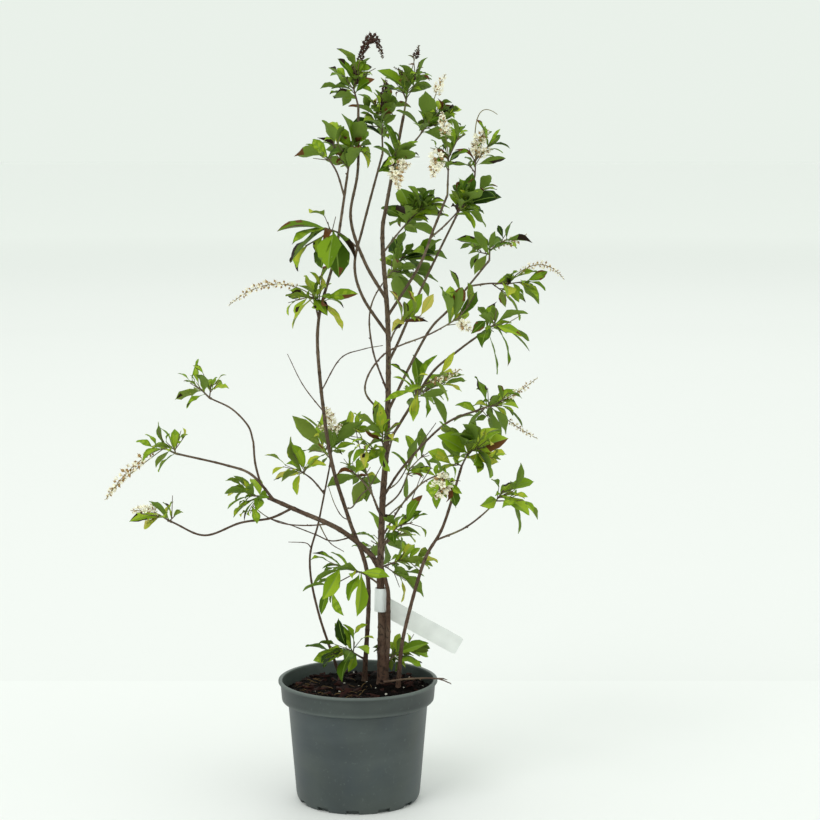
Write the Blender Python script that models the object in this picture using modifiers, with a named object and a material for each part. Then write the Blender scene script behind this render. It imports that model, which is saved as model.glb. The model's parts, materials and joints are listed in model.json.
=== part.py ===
"""A potted summersweet shrub, 84 cm tall, with its pot, compost and blank label, in metres, +Z up.

The origin is the centre of the pot's flat underside and the shrub's front faces -Y.
Limbs are tapering tubes from a few places in centimetres, each starting on the limb that
carries it. Each mass of foliage grows by one seeded rule inside an ellipsoid of its own.
"""

import math
import random
from dataclasses import dataclass

import bmesh
import bpy
import numpy as np
from mathutils import Euler, Matrix, Vector

CM = 0.01
MM = 0.001
GAP = 0.3 * MM

# Pot: a three-litre nursery pot with a deep collar and drainage notches round its foot
RIM_R = 8.88 * CM
RIM_H = 13.6 * CM
COLLAR_R = 8.6 * CM
COLLAR_H = 2.3 * CM
SHOULDER_R = 7.8 * CM
HEEL_R = 6.95 * CM
BASE_R = 6.63 * CM
WALL = 1.5 * MM
FLOOR = 7.0 * MM
TURN_STEPS = 32
NOTCHES = 12
NOTCH_TURN = 26
NOTCH_WIDE = 14 * MM
NOTCH_HIGH = 5 * MM
NOTCH_DEEP = 8 * MM

# Compost: it fills the pot and rises to a flat top that the stems stand on
SOIL_TOP = 12.8 * CM
SOIL_EDGE = 12.0 * CM
SOIL_FLAT_R = 6.2 * CM

# Label: a blank white band round the trunk with a long tail to the right
BAND_LOW = 21.3 * CM
BAND_HIGH = 23.9 * CM
BAND_R = 7.8 * MM
BAND_TOP_R = 7.2 * MM
LABEL_THICK = 0.8 * MM
TAIL_ROOT = 3 * MM
TAIL_ROOT_H = 21.7 * CM
TAIL_LONG = 98 * MM
TAIL_WIDE = 21 * MM
TAIL_FALL = math.radians(30)
TAIL_BACK = math.radians(7)

# Limbs
FOOT_LEAD = 4 * MM
TIP_LEAD = 3 * MM
SPAN_STEPS = 3
FLARE = 3.4 * MM
FLARE_HEIGHT = 14 * MM

# Foliage
STEM_R = 1.3 * MM
STEM_TIP_R = 0.8 * MM
TWIG_R = 0.95 * MM
LEAF_THICK = 1.0 * MM
LEAF_WIDTH = 0.5
LEAF_SHARES = (0, 0.36, 0.74, 1)
LEAF_HALVES = (0, 0.9, 1, 0)
LEAF_ARCH = 2.2
LEAF_SINK = 0.3 * MM
LEAF_SPACING = 2.8 * MM
CLEARANCE = 0.8 * MM
BEAD = 4 * MM
NO_OWNER = -1
BORDER = 0.04
GOLDEN_TURN = math.radians(137.5)
LEAVES_A_TWIG = 5
TRIES_A_LEAF = 12
TRIES_A_TWIG = 4
TWIG_SHARE = (0.4, 0.62)
TWIG_RISE = 0.8
SPREAD = 1.3
LEAF_SIZES = (0.9, 1.25)
LEAF_ROLL = math.radians(60)
LEAF_CUTS = (1, 0.85, 0.7)
SPIKE_SWELL = (0.15, 0.75, 1.0, 0.85, 0.3)

BARK = (0.10, 0.075, 0.06)
PLASTIC = (0.075, 0.09, 0.095)
COMPOST = (0.035, 0.022, 0.016)
WHITE = (0.85, 0.86, 0.85)
LEAF_GREEN = (0.14, 0.27, 0.05)


@dataclass
class Limb:
    """A tapering limb: radii in mm, places in cm. height is where it leaves its parent, or None at a tip."""

    name: str
    parent: str
    height: float
    radii: tuple
    places: list


@dataclass
class Mass:
    """A mass of foliage: its stem leaves parent at height, or at its tip, passes places and
    ends at the last one. centre and reach give its ellipsoid, all in cm."""

    name: str
    parent: str
    height: float
    places: list
    centre: tuple
    reach: tuple
    leaves: int
    leaf: float
    droop: float = 0.1
    spikes: tuple = ()


LIMBS = [
    Limb("trunk", "soil", 12.8, (7.0, 5.2), [(2.8, 0, 12.8), (2.7, 0, 16.8), (2.7, 0, 20.3),
         (2.5, 0, 25.4)]),
    Limb("leader", "trunk", None, (3.9, 1.6), [(2.8, 0, 33.8), (3.3, 0.3, 41.5), (3.4, 1, 52.6),
         (2.8, 1, 62.4), (3.3, 1, 66.5), (5.1, 1, 75.8)]),
    Limb("rear_left_stem", "soil", 12.8, (2.0, 1.3), [(-2.1, 2.5, 12.8), (-4.6, 3.4, 20.6),
         (-5.5, 4.1, 26.2), (-4.5, 4.8, 30.5), (-3.3, 6, 36.5)]),
    Limb("tall_left_stem", "soil", 12.8, (2.6, 1.4), [(0.7, 2, 12.8), (1.1, 2.2, 24.4), (-1, 3, 31),
         (-2.9, 1.5, 37.9), (-4, -1, 47.2), (-4.1, -2, 53.9), (-2.2, -4, 61.1), (-0.9, -4, 69.3)]),
    Limb("right_stem", "soil", 12.8, (2.3, 1.4), [(4.5, -1.5, 12.8), (5.1, -2.1, 19),
         (7.3, -3.3, 27.4), (9.4, -4.2, 31.6), (11.3, -5.6, 38.2)]),
    Limb("left_bough", "leader", 26.0, (3.2, 2.2), [(1.2, -1.3, 28.2), (-2, -2.5, 31),
         (-6.2, -3.9, 33.2), (-9.5, -5, 34.9)]),
    Limb("arching_bough", "left_bough", 34.6, (1.6, 1.1), [(-11.2, -6.2, 37.6), (-14, -7, 38.8),
         (-18.8, -8.6, 40.2)]),
    Limb("rising_bough", "arching_bough", 36.6, (1.3, 1.1), [(-10.9, -4.8, 38.6), (-11.1, -4.4, 40.6)]),
    Limb("curling_bough", "rising_bough", None, (1.1, 0.9), [(-11.7, -4, 42.6), (-13.5, -3, 44.3),
         (-15.8, -2, 45.3)]),
    Limb("trailing_bough", "left_bough", 33.6, (1.4, 1.0), [(-9.3, -5.3, 32.7), (-12.4, -7, 32.5),
         (-16, -9.5, 31.6), (-19.2, -12, 33.5)]),
    Limb("inner_left_bough", "leader", 52.0, (1.8, 1.3), [(0.6, 2.1, 56.1), (-0.3, 3.2, 59.6),
         (0.6, 4.3, 63.7), (2.7, 5.4, 71.5)]),
    Limb("left_leader", "leader", 55.9, (2.0, 1.3), [(0.9, -0.8, 60.1), (-0.6, -1.5, 64.9),
         (0.2, -2.2, 70), (0.3, -3, 76.5)]),
    Limb("inner_right_bough", "leader", 54.0, (1.7, 1.2), [(6.8, -1, 59.7), (8.3, -2.2, 63.6),
         (9.7, -4, 67.2)]),
    Limb("upper_right_bough", "leader", 49.0, (1.7, 1.2), [(4.7, 2.6, 51.5), (7.5, 5.8, 57.7),
         (10.9, 8.6, 64.5)]),
    Limb("right_bough", "leader", 43.5, (1.7, 1.1), [(5.5, 0.9, 48), (8, 2, 52.5), (10.4, 2.7, 55),
         (14.4, 3.8, 59.8)]),
    Limb("front_right_bough", "leader", 39.9, (1.6, 1.1), [(5, -1.8, 43), (8, -4.5, 48.2),
         (10.6, -6, 50.7), (13.5, -8, 53.1)]),
    Limb("low_right_bough", "leader", 34.1, (1.5, 1.1), [(5.2, 1.2, 37.5), (9.7, 4, 41.7),
         (14, 5.6, 43.3)]),
]

# A spike is (control place, end place, thickness in mm, what it bears)
MASSES = [
    Mass("top_left", "left_leader", None, [(-0.2, -3, 78.8)], (-0.9, -3, 79.6), (2.5, 2.6, 3.1), 9,
         3.2, spikes=(((1.6, -3, 87.4), (2.9, -3, 81.9), 2.6, "dry"),)),
    Mass("top_centre", "inner_left_bough", None, [(2.7, 5, 75.6)], (2.5, 5, 76.1), (3.0, 2.8, 3.7), 10,
         3.7, spikes=(((2.9, 4.8, 78), (3.2, 4.6, 79.8), 2.2, "dry"),)),
    Mass("top_right", "leader", None, [(5.6, 1, 78.9)], (5.6, 1, 79.5), (2.8, 2.5, 3.1), 9, 3.4,
         spikes=(((6.1, 1, 81.5), (6.8, 1, 83.4), 2.0, "dry"),)),
    Mass("top_branch", "leader", 70.8, [(6.4, -0.6, 73.2), (7.8, -2, 75.1)], (7.9, -2, 75.4),
         (2.9, 2.7, 3.0), 8, 3.4, spikes=(((8.4, -2, 78.5), (9.6, -2.1, 80.2), 3.2, "cream"),)),
    Mass("left_shoot", "tall_left_stem", 67.3, [(-2, -5.2, 70), (-3.2, -6.6, 71.8)], (-3.3, -7, 72.6),
         (2.8, 2.4, 2.6), 5, 4.2),
    Mass("upper_left", "tall_left_stem", None, [(-0.4, -4.4, 72.6)], (-0.4, -4.3, 71.6),
         (2.5, 2.6, 4.2), 9, 4.6, droop=0.3),
    Mass("upper_front", "leader", 66.8, [(3.8, -1.8, 69.2), (4.1, -4.4, 71.4)], (3.9, -4.6, 72),
         (2.8, 2.5, 2.9), 7, 3.7, spikes=(((4.2, -6.6, 70.6), (4.6, -6.4, 68.2), 5.0, "cream"),)),
    Mass("upper_right_near", "inner_right_bough", 62.8, [(9.6, -2.6, 64.2), (11.6, -3.6, 66.4)],
         (12.2, -3.8, 67.2), (3.0, 3.0, 2.9), 10, 4.6),
    Mass("upper_right_far", "upper_right_bough", None, [(12.9, 9, 68.4), (13.2, 9, 71)],
         (13.2, 9, 71.6), (3.2, 3.1, 3.9), 11, 3.7,
         spikes=(((13.2, 8.6, 73.8), (14.6, 8.2, 74.3), 4.0, "cream"),
         ((12.6, 9, 78.4), (15.6, 9, 76.1), 1.0, "bare"))),
    Mass("upper_right_inner", "inner_right_bough", None, [(9.9, -5, 71.4)], (9.8, -5.2, 72.9),
         (2.4, 2.6, 2.6), 8, 3.4, spikes=(((9.5, -5, 74.6), (9.2, -5.4, 76.2), 3.6, "cream"),
         ((8.6, -7.4, 72.6), (8.2, -7, 69.4), 5.0, "cream"))),
    Mass("centre_high", "leader", 61.0, [(4.4, 1.5, 63), (6.2, 2, 65)], (6.4, 2, 65.3),
         (3.1, 3.0, 3.1), 9, 4.6),
    Mass("centre_low", "leader", 45.5, [(1.6, 3.3, 50.5), (1.6, 5.4, 55.3), (5, 8.6, 60.2)],
         (6, 9, 59.4), (3.5, 3.3, 3.9), 10, 5.4, droop=0.35),
    Mass("left_drooping", "left_leader", 61.5, [(-1.5, -3.2, 63.2), (-3.2, -5.4, 64)],
         (-3.9, -6, 62.9), (4.1, 3.5, 3.6), 8, 5.6, droop=0.45),
    Mass("left_flowering", "tall_left_stem", 54.0, [(-4.6, -3.2, 56.6)], (-3.3, -3, 55.4),
         (4.0, 3.7, 4.0), 10, 4.4, droop=0.3,
         spikes=(((-9, -3.4, 59.6), (-13.7, -3, 55.6), 2.6, "tan"),)),
    Mass("right_high", "right_bough", None, [(14.7, 5.2, 61.4)], (15, 5.8, 61.6), (3.9, 3.1, 2.9), 8,
         3.8, spikes=(((17, 6, 61.8), (18.8, 6, 62.8), 2.6, "tan"),)),
    Mass("right_outer", "right_bough", 57.2, [(14.6, 2, 57.6), (16.4, 1, 57.6)], (17, 1, 57.2),
         (3.8, 3.2, 2.9), 9, 4.0, spikes=(((20, 0.4, 61.6), (22.6, 0, 58.2), 2.2, "tan"),)),
    Mass("centre_right", "leader", 42.9, [(0.9, -2, 46.3), (3, -4.6, 50.4), (7.9, -7.8, 52.9),
         (10.8, -8.6, 54.6)], (10.6, -8.2, 56), (2.8, 2.7, 3.5), 5, 4.8,
         spikes=(((11.4, -9, 54), (12.2, -9.2, 53.4), 3.6, "cream"),)),
    Mass("right_mid", "front_right_bough", None, [(14.2, -9, 53.8)], (14.2, -9.4, 53), (3.9, 3.3, 3.8),
         9, 4.8, droop=0.2),
    Mass("yellow_spray", "leader", 50.8, [(4.2, -2, 52.8), (5.2, -4.2, 54)], (5.6, -4.6, 54.6),
         (3.3, 2.8, 2.9), 5, 5.2),
    Mass("rosette", "front_right_bough", 45.8, [(7.2, -5.8, 47.2)], (7.5, -6.9, 47.6), (3.8, 3.4, 3.5),
         10, 4.6, spikes=(((9.4, -8, 48.2), (11.2, -8, 49.2), 2.8, "tan"),)),
    Mass("right_outer_low", "low_right_bough", None, [(14.8, 6.8, 43.4)], (14.2, 7, 42.6),
         (4.0, 3.3, 3.6), 9, 4.8, spikes=(((17.6, 7, 44.4), (20.2, 7, 46.6), 2.2, "tan"),
         ((17.8, 6.4, 41), (20.2, 6, 39.8), 2.0, "tan"))),
    Mass("right_low", "right_stem", None, [(12.1, -6.8, 40.2)], (12, -7, 39.8), (4.2, 3.5, 3.9), 9,
         5.8, droop=0.35),
    Mass("left_mid", "rear_left_stem", None, [(-3, 7.4, 39.4)], (-3.2, 7.6, 39.2), (4.0, 3.7, 4.5), 11,
         5.2),
    Mass("left_mid_outer", "rear_left_stem", 33.6, [(-5.2, 4.4, 35.4), (-6.6, 3.4, 36.6)],
         (-7.2, 3, 37.1), (3.3, 2.7, 2.9), 5, 4.4),
    Mass("centre_left", "leader", 31.8, [(1.2, 2.6, 34.6), (-0.9, 5.2, 36.4)], (-1, 5.4, 35.4),
         (2.9, 2.8, 3.7), 7, 5.0),
    Mass("centre_front", "leader", 38.5, [(2.8, -2.8, 40.8)], (2, -3.6, 40.9), (2.5, 2.4, 4.6), 9, 4.4),
    Mass("right_inner", "leader", 32.8, [(4.6, 3, 34), (5.8, 4.6, 36.6)], (6.2, 5, 37),
         (2.5, 2.5, 4.2), 8, 4.8),
    Mass("flower_low", "leader", 29.5, [(5, -2.4, 33.8), (7.2, -5.4, 36.6), (9.4, -8.6, 38.2)],
         (8.8, -8.9, 37.2), (2.8, 2.7, 3.3), 7, 4.6,
         spikes=(((9.4, -11, 38), (8.6, -10.4, 35.8), 6.0, "cream"),)),
    Mass("low_right_inner", "leader", 28.4, [(4.5, -2.8, 31.4)], (4.9, -3.6, 32), (2.4, 2.4, 3.1), 6,
         4.6),
    Mass("low_right", "leader", 26.2, [(4.8, 1.2, 26.8)], (5.5, 1.4, 26), (3.0, 2.8, 3.7), 9, 4.4),
    Mass("low_left", "trunk", 24.2, [(0.6, -2.2, 26), (-1.8, -4, 27)], (-1.6, -4.2, 25.6),
         (4.2, 3.4, 3.5), 9, 4.8, droop=0.35),
    Mass("right_hanging", "right_stem", 30.0, [(11.8, -4.9, 31.6), (14.4, -6.3, 34), (15.8, -7, 36)],
         (16, -7, 35), (3.2, 3.0, 4.2), 7, 4.2, droop=0.4),
    Mass("foot_left", "tall_left_stem", 15.2, [(-1.4, 0.4, 17)], (-1.7, 0, 16.9), (3.6, 3.0, 2.9), 9,
         4.4),
    Mass("foot_right", "trunk", 14.9, [(4.4, 1.4, 16.2)], (4.9, 1.6, 16.1), (3.1, 2.8, 2.1), 8, 4.0),
    Mass("far_left_top", "curling_bough", None, [(-17.1, -2, 46.5)], (-17.2, -2, 46.9),
         (2.9, 2.5, 2.2), 7, 3.4),
    Mass("far_left_mid", "arching_bough", None, [(-20.2, -9, 40.9)], (-20.3, -9, 41), (2.8, 2.4, 2.2),
         7, 3.2, spikes=(((-23.4, -9.5, 40), (-26.5, -9, 35.4), 3.2, "tan"),)),
    Mass("far_left_low", "trailing_bough", None, [(-20.4, -12, 34.2)], (-20.6, -12, 34.1),
         (2.9, 2.2, 1.9), 5, 3.4, spikes=(((-22, -12, 34.8), (-23.4, -12, 34.7), 3.8, "cream"),)),
    Mass("left_low", "left_bough", None, [(-11.3, -5.5, 35.2)], (-12, -5.5, 34.9), (2.7, 2.5, 2.3), 7,
         3.6),
    Mass("back_right", "leader", 37.0, [(3.9, 4, 40.3), (5.6, 8.8, 42.8), (7, 11.4, 44.4)],
         (7.3, 11.6, 44.2), (4.0, 3.7, 4.0), 8, 5.0),
    Mass("back_low", "leader", 27.6, [(2.8, 4, 27.2), (2.9, 8.2, 27.8)], (2.9, 9, 27.4),
         (3.9, 3.6, 3.7), 8, 4.8),
]


# Routes

def smooth(places, steps):
    """Points on a smooth curve through the places, steps of them to each span."""
    spine = [2 * places[0] - places[1], *places, 2 * places[-1] - places[-2]]
    points = []
    for before, start, end, after in zip(spine, spine[1:], spine[2:], spine[3:]):
        for step in range(steps):
            t = step / steps
            bend = (2 * before - 5 * start + 4 * end - after) * t * t
            swing = (3 * start - before - 3 * end + after) * t * t * t
            points.append((2 * start + (end - before) * t + bend + swing) / 2)
    return [*points, places[-1]]


def at_height(points, height):
    """The point where a route first reaches this height."""
    for low, high in zip(points, points[1:]):
        if low.z <= height <= high.z:
            return low.lerp(high, (height - low.z) / (high.z - low.z))
    raise ValueError(f"the route never reaches {height / CM:.1f} cm")


def route_of(item, routes):
    """A limb's or a stem's centre line, from the compost, its parent's side or its parent's tip."""
    places = [Vector(place) * CM for place in item.places]
    if item.parent == "soil":
        foot = Vector((places[0].x, places[0].y, SOIL_TOP + GAP))
        return [foot, *smooth([foot + Vector((0, 0, FOOT_LEAD)), *places[1:]], SPAN_STEPS)]
    parent = routes[item.parent]
    if item.height is None:
        along = (parent[-1] - parent[-2]).normalized()
        return [parent[-1] + along * GAP, *smooth([parent[-1] + along * TIP_LEAD, *places], SPAN_STEPS)]
    return smooth([at_height(parent, item.height * CM), *places], SPAN_STEPS)


def taper(points, start, end):
    return [start + (end - start) * step / (len(points) - 1) for step in range(len(points))]


def limb_radii(limb, points):
    """The limb's taper, with the foot of a stem that rises from the compost widened."""
    start, end = (radius * MM for radius in limb.radii)
    radii = taper(points, start, end)
    if limb.parent != "soil":
        return radii
    flare = FLARE * start / (7 * MM)
    return [r + flare * math.exp(-(p.z - points[0].z) / FLARE_HEIGHT) for p, r in zip(points, radii)]


def bezier(start, control, end, steps):
    points = []
    for step in range(steps + 1):
        t = step / steps
        points.append(start * (1 - t) ** 2 + control * 2 * t * (1 - t) + end * t * t)
    return points


# The rule that foliage grows by

class Obstacles:
    """Beads along every limb and stem, which a new twig or leaf keeps clear of."""

    def __init__(self):
        self.places, self.radii, self.owners = np.empty((0, 3)), np.empty(0), np.empty(0, int)

    def keep(self, owner, places, radii):
        self.places = np.vstack((self.places, np.array(places)))
        self.radii = np.append(self.radii, radii)
        self.owners = np.append(self.owners, np.full(len(places), owner))

    def add_route(self, owner, points, radii):
        places, sizes = [], []
        for start, end, r0, r1 in zip(points, points[1:], radii, radii[1:]):
            count = max(1, math.ceil((end - start).length / (2 * MM)))
            for step in range(count):
                places.append(start.lerp(end, step / count))
                sizes.append(r0 + (r1 - r0) * step / count)
        self.keep(owner, places, sizes)

    def add_leaf(self, leaf):
        """Beads all over the outer part of a leaf, which later leaves keep off."""
        places = []
        ribs = max(2, round(0.65 * leaf["length"] / BEAD))
        for rib in range(ribs + 1):
            share = 0.35 + 0.65 * rib / ribs
            half = leaf["width"] / 2 * leaf_half(share)
            rows = round(half / BEAD)
            for row in range(-rows, rows + 1):
                across_rib = half * row / max(1, rows)
                spot = Vector((share * leaf["length"], across_rib, leaf_lift(share)))
                places.append(leaf["base"] + leaf["turn"] @ spot)
        self.keep(NO_OWNER, places, np.full(len(places), (LEAF_THICK - CLEARANCE) / 2))

    def seen_by(self, owner):
        """Places and radii of what isn't this owner's."""
        others = self.owners != owner
        return self.places[others], self.radii[others]


def twig_clear(start, end, radius, places, radii):
    line = np.array(end - start)
    along = np.clip((places - np.array(start)) @ line / (line @ line), 0, 1)
    away = np.linalg.norm(places - np.array(start) - along[:, None] * line, axis=1)
    return bool((away > radii + radius + CLEARANCE).all())


def leaf_half(share):
    """The leaf's half width at a share of its length, as a share of its greatest."""
    return np.interp(share, LEAF_SHARES, LEAF_HALVES)


def leaf_lift(share):
    """How high the leaf stands, arched along its length."""
    return 4 * share * (1 - share) * LEAF_ARCH * LEAF_THICK


def leaf_clear(leaf, places, radii):
    """Whether every bead is off the leaf's thin arched slab."""
    local = (places - np.array(leaf["base"])) @ np.array(leaf["turn"])
    room = radii + CLEARANCE
    share = local[:, 0] / leaf["length"]
    near = (local[:, 0] > -room) & (local[:, 0] < leaf["length"] + room)
    near &= np.abs(local[:, 1]) < leaf_half(share) * leaf["width"] / 2 + room
    near &= np.abs(local[:, 2] - leaf_lift(share)) < LEAF_THICK / 2 + room
    return not near.any()


def in_space(mass, points):
    """Whether the points lie in this mass's ellipsoid and nearer its middle than any other's."""
    centres = np.array([m.centre for m in MASSES]) * CM
    reaches = np.array([m.reach for m in MASSES]) * CM * SPREAD
    shares = (((np.array(points)[:, None] - centres) / reaches) ** 2).sum(axis=2)
    own = shares[:, MASSES.index(mass)].copy()
    shares[:, MASSES.index(mass)] = np.inf
    return bool((own <= 1).all() and (own + BORDER < shares.min(axis=1)).all())


def across(direction, angle):
    """A unit vector square to the direction, turned about it by the angle."""
    side = direction.orthogonal().normalized()
    return side * math.cos(angle) + direction.cross(side) * math.sin(angle)


def new_leaf(base, direction, shoot, length, roll):
    """A leaf's place as plain values: turn holds its length, width and upper-face directions."""
    up = (Vector((0, 0, 1)) + 0.5 * shoot).normalized()
    level = up.cross(direction).normalized()
    width = level * math.cos(roll) + direction.cross(level) * math.sin(roll)
    turn = Matrix((direction, width, direction.cross(width))).transposed()
    base = base - direction * LEAF_SINK
    return {"base": base, "turn": turn, "length": length, "width": length * LEAF_WIDTH}


def leaf_corners(leaf):
    base, turn = leaf["base"], leaf["turn"]
    waist = base + turn.col[0] * leaf["length"] * LEAF_SHARES[2]
    edge = turn.col[1] * leaf["width"] / 2
    return [base + turn.col[0] * leaf["length"], waist + edge, waist - edge]


def before_tip(stem, distance):
    """The point this far back along the stem from its tip."""
    for end, start in zip(stem[:0:-1], stem[-2::-1]):
        if distance <= (end - start).length:
            return end.lerp(start, distance / (end - start).length)
        distance -= (end - start).length
    return stem[1].copy()


def side_twigs(mass, stem, rng, places, radii):
    """Twigs that leave the stem for places spread evenly through the mass's space."""
    twigs = []
    wanted = round(mass.leaves / LEAVES_A_TWIG)
    along = (stem[-1] - stem[-3]).normalized()
    for number in range(TRIES_A_TWIG * wanted):
        if len(twigs) == wanted:
            break
        level = 1 - 2 * ((number + 0.5) / wanted % 1)
        turn = number * GOLDEN_TURN + rng.uniform(-0.4, 0.4)
        ring = math.sqrt(1 - level * level)
        aim = (ring * math.cos(turn), ring * math.sin(turn), level)
        share = rng.uniform(*TWIG_SHARE)
        end = Vector([(c + a * r * share) * CM for c, a, r in zip(mass.centre, aim, mass.reach)])
        beyond = (end - stem[-1]).dot(along)
        beside = (end - stem[-1] - along * beyond).length
        start = before_tip(stem, max(0, TWIG_RISE * beside - beyond))
        long_enough = (end - start).length > LEAF_SPACING * 2
        if long_enough and in_space(mass, [end]) and twig_clear(start, end, TWIG_R, places, radii):
            twigs.append((start, end))
    return twigs


def mass_leaves(mass, shoots, rng, obstacles):
    """Leaves in a spiral down each shoot from its tip, where they fit."""
    leaves = []
    for number in range(TRIES_A_LEAF * mass.leaves):
        if len(leaves) == mass.leaves:
            break
        places, radii = obstacles.seen_by(MASSES.index(mass))
        start, end = shoots[number % len(shoots)]
        along = (end - start).normalized()
        down = LEAF_SPACING * (number // len(shoots) % LEAVES_A_TWIG + rng.uniform(0.1, 0.4))
        up_shoot = max(0.05, 1 - down / (end - start).length)
        lean = math.radians(80 - 40 * up_shoot + rng.uniform(-12, 12))
        out = across(along, number // len(shoots) * GOLDEN_TURN + rng.uniform(-0.35, 0.35))
        direction = along * math.cos(lean) + out * math.sin(lean)
        direction = (direction - Vector((0, 0, mass.droop + rng.uniform(-0.1, 0.2)))).normalized()
        if abs(direction.z) > 0.97:
            continue
        length = mass.leaf * CM * rng.uniform(*LEAF_SIZES)
        roll = rng.uniform(-LEAF_ROLL, LEAF_ROLL)
        for cut_back in LEAF_CUTS:
            leaf = new_leaf(start.lerp(end, up_shoot), direction, along, length * cut_back, roll)
            if in_space(mass, leaf_corners(leaf)) and leaf_clear(leaf, places, radii):
                leaves.append(leaf)
                obstacles.add_leaf(leaf)
                break
    return leaves


def grow(mass, stem, obstacles):
    """The twigs and leaves of one mass."""
    rng = random.Random(mass.name)
    places, radii = obstacles.seen_by(MASSES.index(mass))
    twigs = side_twigs(mass, stem, rng, places, radii)
    shoots = [(stem[-3], stem[-1]), *twigs]
    return twigs, mass_leaves(mass, shoots, rng, obstacles)


# Blender's side

def clear_scene():
    for obj in list(bpy.data.objects):
        bpy.data.objects.remove(obj, do_unlink=True)


def new_collection(name):
    collection = bpy.data.collections.new(name)
    bpy.context.scene.collection.children.link(collection)
    return collection


def finish(obj, colour, roughness):
    material = bpy.data.materials.new(obj.name)
    material.use_nodes = True
    shader = material.node_tree.nodes["Principled BSDF"]
    shader.inputs["Base Color"].default_value = (*colour, 1)
    shader.inputs["Roughness"].default_value = roughness
    shader.inputs["Metallic"].default_value = 0
    obj.data.materials.clear()
    obj.data.materials.append(material)


def as_seen(obj):
    """The object's evaluated mesh, as a new mesh."""
    bpy.context.view_layer.update()
    return bpy.data.meshes.new_from_object(obj.evaluated_get(bpy.context.evaluated_depsgraph_get()))


def settle(obj):
    """Applies the object's modifiers."""
    mesh = as_seen(obj)
    obj.modifiers.clear()
    obj.data = mesh


def tube(name, collection, points, radii, sides):
    """A closed tube along the points, as a mesh whose origin is its first point."""
    curve = bpy.data.curves.new(name, "CURVE")
    curve.dimensions = "3D"
    curve.bevel_depth = MM
    curve.bevel_resolution = (sides - 4) // 2
    curve.use_fill_caps = True
    spline = curve.splines.new("POLY")
    spline.points.add(len(points) - 1)
    for knot, point, radius in zip(spline.points, points, radii):
        knot.co = (*(point - points[0]), 1)
        knot.radius = radius / MM
    guide = bpy.data.objects.new(name, curve)
    collection.objects.link(guide)
    mesh = as_seen(guide)
    bpy.data.objects.remove(guide)
    bm = bmesh.new()
    bm.from_mesh(mesh)
    bmesh.ops.remove_doubles(bm, verts=bm.verts, dist=0.01 * MM)
    bmesh.ops.recalc_face_normals(bm, faces=bm.faces)
    bm.to_mesh(mesh)
    bm.free()
    obj = bpy.data.objects.new(name, mesh)
    obj.location = points[0]
    collection.objects.link(obj)
    return obj


def turned(name, collection, profile, ring=False, steps=TURN_STEPS):
    """A profile of (radius, height), down its outer side, turned about Z. A ring's profile is closed."""
    mesh = bpy.data.meshes.new(name)
    bm = bmesh.new()
    verts = [bm.verts.new((radius, 0, height)) for radius, height in profile]
    ends = verts[1:] + verts[:1] if ring else verts[1:]
    for pair in zip(verts, ends):
        bm.edges.new(pair)
    bm.to_mesh(mesh)
    bm.free()
    obj = bpy.data.objects.new(name, mesh)
    collection.objects.link(obj)
    screw = obj.modifiers.new("Turn", "SCREW")
    screw.steps = screw.render_steps = steps
    screw.use_merge_vertices = True
    screw.merge_threshold = 0.00005
    return obj


def box(name, collection, size, location, turn):
    mesh = bpy.data.meshes.new(name)
    bm = bmesh.new()
    bmesh.ops.create_cube(bm, size=1, matrix=Matrix.Diagonal((*size, 1)))
    bm.to_mesh(mesh)
    bm.free()
    obj = bpy.data.objects.new(name, mesh)
    obj.location = location
    obj.rotation_euler = turn
    collection.objects.link(obj)
    return obj


def as_cutter(obj):
    obj.hide_render = True
    obj.display_type = "WIRE"
    return obj


def cut(obj, cutter):
    difference = obj.modifiers.new("Cut " + cutter.name, "BOOLEAN")
    difference.operation = "DIFFERENCE"
    difference.object = cutter


def joined(base, others):
    """The base with the other objects united to it, applied, and the others removed."""
    pieces = new_collection(base.name + " pieces")
    for other in others:
        pieces.objects.link(other)
    union = base.modifiers.new("Union", "BOOLEAN")
    union.operation = "UNION"
    union.operand_type = "COLLECTION"
    union.collection = pieces
    union.solver = "MANIFOLD"
    settle(base)
    for other in others:
        bpy.data.objects.remove(other)
    bpy.data.collections.remove(pieces)


def shell_volume(faces):
    return sum(f.verts[0].co.dot(f.verts[1].co.cross(f.verts[2].co)) for f in faces) / 6


def keep_main_body(obj):
    """Drops loose scraps and fills sealed hollows: only the largest shell stays."""
    bm = bmesh.new()
    bm.from_mesh(obj.data)
    bmesh.ops.triangulate(bm, faces=bm.faces)
    shells, seen = [], set()
    for first in bm.faces:
        if first in seen:
            continue
        shell, edge = [], [first]
        seen.add(first)
        while edge:
            face = edge.pop()
            shell.append(face)
            linked = {other for e in face.edges for other in e.link_faces} - seen
            seen |= linked
            edge.extend(linked)
        shells.append(shell)
    shells.sort(key=shell_volume)
    spare = [face for shell in shells[:-1] for face in shell]
    bmesh.ops.delete(bm, geom=spare, context="FACES")
    bm.to_mesh(obj.data)
    bm.free()


# Pieces

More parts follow.
